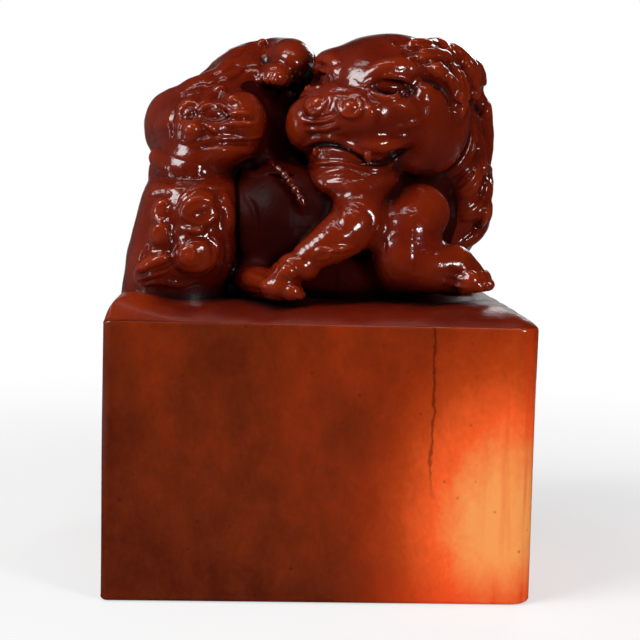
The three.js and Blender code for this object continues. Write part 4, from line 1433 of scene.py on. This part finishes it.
class SealStampFinish(bpy.types.PropertyGroup):
    """The stone's tones, from its darkest, which the painted shade also uses, to its clear zone with its
    painted glow.
    """

    # Painted shade in the cuts and the gaps; also the dark tone of the veins, the flecks and the deep look
    crevice: colour_property("Crevice", "Wax and dust in the deepest cuts", "#1a0201")
    # Also the painted shade in the gaps, and the end of the deep look's darker ramp
    deep: colour_property("Deep", "The darkest stone", "#3c0703")
    body: colour_property("Body", "The stone's main tone", "#661604")
    bed: colour_property("Bed", "The block's main tone", "#692308")
    # A warm tone of the stone in the ramps, and the painted glow on thin ridges
    warm: colour_property("Warm", "Thin and lighter stone", "#922d08")
    # The clear zone's tones: partly the stone's own lighter tone, partly a painted glow of lamp light
    # shining through it
    amber: colour_property("Amber", "Stone beside the clear zone", "#b8410f")
    clear: colour_property("Clear", "The clear zone's rim", "#fb6124")
    glow: colour_property("Glow", "The clear zone's middle", "#ffa358")
    flush: colour_property("Flush", "Red at the right and along the foot", "#e03208")
    roughness: bpy.props.FloatProperty(
        name="Roughness", description="Roughness of the hand polish", default=0.08, min=0.0, max=1.0,
        subtype="FACTOR")
    gloss: bpy.props.FloatProperty(
        name="Gloss", description="Strength of the polish's reflections", default=0.5, min=0.0, max=1.0,
        subtype="FACTOR")

    def stops(self, kind):
        """The colour ramp of a kind of stone."""
        return {
            "block": [(0.0, self.deep), (0.2, self.bed), (0.38, self.warm), (0.55, self.amber),
                      (0.78, self.clear), (1.0, self.glow)],
            "carved": [(0.05, self.deep), (0.32, self.body), (0.65, self.warm)],
            "ground": [(0.05, self.deep), (0.4, self.body), (0.9, self.warm)],
            # The deep look's darker ramp is painted shade for the animals in the gaps
            "deep": [(0.05, self.crevice), (0.9, self.deep)],
            "spine": [(0.05, self.deep), (0.9, self.body)],
        }[kind]


def carved_stone(kind):
    """The knob's stone of a kind, made once."""
    if kind not in CACHE:
        CACHE[kind] = stone("polished_soapstone_" + kind, bpy.context.scene.seal_finish, kind)
    return CACHE[kind]


class SEAL_OT_block(bpy.types.Operator):
    """Makes the square block and its plain, polished faces"""

    bl_idname = "seal_stamp.block"
    bl_label = "Block"

    def execute(self, context):
        sizes = context.scene.seal_sizes
        points, quads, caps = block_surface(sizes.corners(), sizes.rim / MM)
        piece = put_mesh("polished_block", within(points), quads, caps)
        material = stone("polished_soapstone_block", context.scene.seal_finish, "block")
        dress(piece, material, "seal_block")
        return {"FINISHED"}


class SEAL_OT_ground(bpy.types.Operator):
    """Makes the carved ground on which the animals lie"""

    bl_idname = "seal_stamp.ground"
    bl_label = "Carved Ground"

    def execute(self, context):
        sizes = context.scene.seal_sizes
        points, quads, caps = ground_surface(sizes.corners(), sizes.rim / MM)
        points = within(points)
        piece = with_shelter(put_mesh("carved_ground_surface", points, quads, caps), points)
        dress(piece, carved_stone("ground"), "carved_ground")
        return {"FINISHED"}


class SEAL_OT_lioness(bpy.types.Operator):
    """Carves the lioness: head, ear, mane, body, legs and tail"""

    bl_idname = "seal_stamp.lioness"
    bl_label = "Lioness"

    def execute(self, context):
        carve("lioness")
        return {"FINISHED"}


class SEAL_OT_upper_cub(bpy.types.Operator):
    """Carves the upper cub"""

    bl_idname = "seal_stamp.upper_cub"
    bl_label = "Upper Cub"

    def execute(self, context):
        carve("upper_cub")
        return {"FINISHED"}


class SEAL_OT_lower_cub(bpy.types.Operator):
    """Carves the lower cub"""

    bl_idname = "seal_stamp.lower_cub"
    bl_label = "Lower Cub"

    def execute(self, context):
        carve("lower_cub")
        return {"FINISHED"}


def lamp(name, place, size, watts):
    """A soft lamp at a place in mm that faces the knob; size is its width and height in mm."""
    data = bpy.data.lights.new(name, "AREA")
    data.shape = "RECTANGLE"
    data.size = size[0] * MM
    data.size_y = size[1] * MM
    data.energy = watts
    made = bpy.data.objects.new(name, data)
    made.location = [v * MM for v in place]
    way = np.array(LAMP_AIM, float) - place
    made.rotation_euler = Vector(way).to_track_quat("-Z", "Y").to_euler()
    bpy.context.scene.collection.objects.link(made)


def by_ray(tree, camera, sent, other):
    """A value for rays from the camera, one for those that a gloss or a clear body sends on, and one
    for the rest."""
    path = node(tree, "ShaderNodeLightPath", out=None).outputs
    sent_on = node(tree, MATH, LARGER, i0=path["Is Glossy Ray"], i1=path["Is Transmission Ray"])
    rest = node(tree, MIX, {"data_type": "FLOAT"}, i0=sent_on, i2=other, i3=sent)
    return node(tree, MIX, {"data_type": "FLOAT"}, i0=path["Is Camera Ray"], i2=rest, i3=camera)


# Each lamp's place in mm, its width and height in mm, and its power in watts
LAMP_AIM = (0, 0, 40)
LAMPS = {
    "window_lamp": ((-170, -125, 250), (130, 110), 0.6),
    "fill_lamp": ((190, -230, 130), (60, 60), 0.34),
    "left_lamp": ((-280, -70, 80), (30, 120), 0.1),
    "back_lamp": ((120, 260, 170), (80, 80), 0.16),
    "strip_lamp": ((-20, -50, 300), (240, 24), 0.12),
}


def paper_floor():
    """A flat disc of white paper under the block, of rings about its middle. It holds the shadow near
    the block and fades to plain white at its rim."""
    angles = np.linspace(0, 2 * math.pi, FLOOR_POINTS, endpoint=False)
    rim = np.column_stack([FLOOR_RADIUS * np.cos(angles), FLOOR_RADIUS * np.sin(angles), 0 * angles])
    rings = [rim * s - (0, 0, 0.05) for s in (1.0, 0.5, 0.2, 0.05)]
    points = np.vstack([*rings, rings[-1].mean(0)])
    n = FLOOR_POINTS
    i = np.arange(n)
    j = (i + 1) % n
    quads = np.vstack([np.stack([k + i, k + j, k + n + j, k + n + i], 1) for k in (0, n, 2 * n)])
    floor = put_mesh("floor", points, quads, [(3 * n + a, 3 * n + b, 4 * n) for a, b in zip(i, j)])
    material, tree = new_material("white_paper_floor")
    place = node(tree, "ShaderNodeTexCoord", out="Object")
    away = node(tree, "ShaderNodeVectorMath", LENGTH, "Value", i0=place)
    fade = node(tree, RANGE, SMOOTH, i0=away, i1=0.03, i2=0.16, i3=0.55, i4=1.0)
    # What the polish mirrors is white behind the object and dim in front of it, as the room is
    depth = node(tree, "ShaderNodeSeparateXYZ", out=1, vector=place)
    behind = node(tree, RANGE, SMOOTH, i0=depth, i1=0.05, i2=0.14, i3=0.03, i4=0.5)
    side = node(tree, "ShaderNodeSeparateXYZ", out=0, vector=place)
    left = node(tree, RANGE, SMOOTH, i0=side, i1=-0.05, i2=-0.13, i3=0.0, i4=0.3)
    behind = node(tree, MATH, LARGER, i0=behind, i1=left)
    paper = node(tree, "ShaderNodeBsdfDiffuse", color=linear("#f4f4f4"))
    strength = by_ray(tree, 1.0, behind, 0.0)
    white = node(tree, "ShaderNodeEmission", color=(1, 1, 1, 1), strength=strength)
    mixed = node(tree, "ShaderNodeMixShader", i0=by_ray(tree, fade, 1.0, 0.0), i1=paper, i2=white)
    node(tree, "ShaderNodeOutputMaterial", out=None, surface=mixed)
    floor.data.materials.append(material)


def studio_world():
    """A white backdrop behind the object, and a dim room in front of it."""
    world = bpy.data.worlds.new("studio")
    world.use_nodes = True
    tree = world.node_tree
    tree.nodes.clear()
    sky = node(tree, "ShaderNodeTexCoord", out="Generated")
    depth = node(tree, "ShaderNodeSeparateXYZ", out=1, vector=sky)
    behind = node(tree, RANGE, SMOOTH, i0=depth, i1=0.93, i2=0.99, i3=0.0, i4=0.6)
    side = node(tree, "ShaderNodeSeparateXYZ", out=0, vector=sky)
    left = node(tree, RANGE, SMOOTH, i0=side, i1=0.0, i2=-0.9, i3=0.02, i4=0.12)
    seen = node(tree, MATH, LARGER, i0=behind, i1=left)
    strength = by_ray(tree, 1.0, seen, 0.16)
    white = node(tree, "ShaderNodeBackground", color=(1, 1, 1, 1), strength=strength)
    node(tree, "ShaderNodeOutputWorld", out=None, surface=white)
    bpy.context.scene.world = world


def fitted_camera():
    """The camera at the photograph's angle."""
    right, up, forward = camera_axes()
    data = bpy.data.cameras.new("camera")
    data.sensor_width = SENSOR_WIDTH
    data.lens = CAMERA_FOCUS / IMAGE_SIZE * SENSOR_WIDTH
    data.clip_start = 0.01
    data.clip_end = 10
    camera = bpy.data.objects.new("camera", data)
    turn = Matrix(np.column_stack([right, up, -forward]).tolist()).to_4x4()
    turn.translation = [v * MM for v in CAMERA_PLACE]
    camera.matrix_world = turn
    bpy.context.scene.collection.objects.link(camera)
    bpy.context.scene.camera = camera


class SEAL_OT_stage(bpy.types.Operator):
    """Sets the floor, the soft lamps, the world and the camera"""

    bl_idname = "seal_stamp.stage"
    bl_label = "Stage"

    def execute(self, context):
        context.scene.view_settings.view_transform = "Standard"
        paper_floor()
        studio_world()
        for name, (place, size, watts) in LAMPS.items():
            lamp(name, place, size, watts * context.scene.seal_sizes.light)
        fitted_camera()
        return {"FINISHED"}


class SEAL_PT_panel(bpy.types.Panel):
    """The seal stamp's sizes, tones and pieces"""

    bl_idname = "SEAL_PT_panel"
    bl_label = "Seal Stamp"
    bl_space_type = "VIEW_3D"
    bl_region_type = "UI"
    bl_category = "Seal Stamp"

    def draw(self, context):
        for group in (context.scene.seal_sizes, context.scene.seal_finish):
            for name in group.__annotations__:
                self.layout.prop(group, name)
        for operator in OPERATORS:
            self.layout.operator(operator.bl_idname)


OPERATORS = (SEAL_OT_block, SEAL_OT_ground, SEAL_OT_lioness, SEAL_OT_upper_cub, SEAL_OT_lower_cub,
             SEAL_OT_stage)
CLASSES = (SealStampSizes, SealStampFinish, *OPERATORS, SEAL_PT_panel)


def register():
    for cls in CLASSES:
        bpy.utils.register_class(cls)
    bpy.types.Scene.seal_sizes = bpy.props.PointerProperty(type=SealStampSizes)
    bpy.types.Scene.seal_finish = bpy.props.PointerProperty(type=SealStampFinish)


def unregister():
    del bpy.types.Scene.seal_finish
    del bpy.types.Scene.seal_sizes
    for cls in reversed(CLASSES):
        bpy.utils.unregister_class(cls)


def main():
    register()
    for operator in (bpy.ops.seal_stamp.block, bpy.ops.seal_stamp.ground, bpy.ops.seal_stamp.lioness,
                     bpy.ops.seal_stamp.upper_cub, bpy.ops.seal_stamp.lower_cub, bpy.ops.seal_stamp.stage):
        operator()


if __name__ == "__main__":
    main()
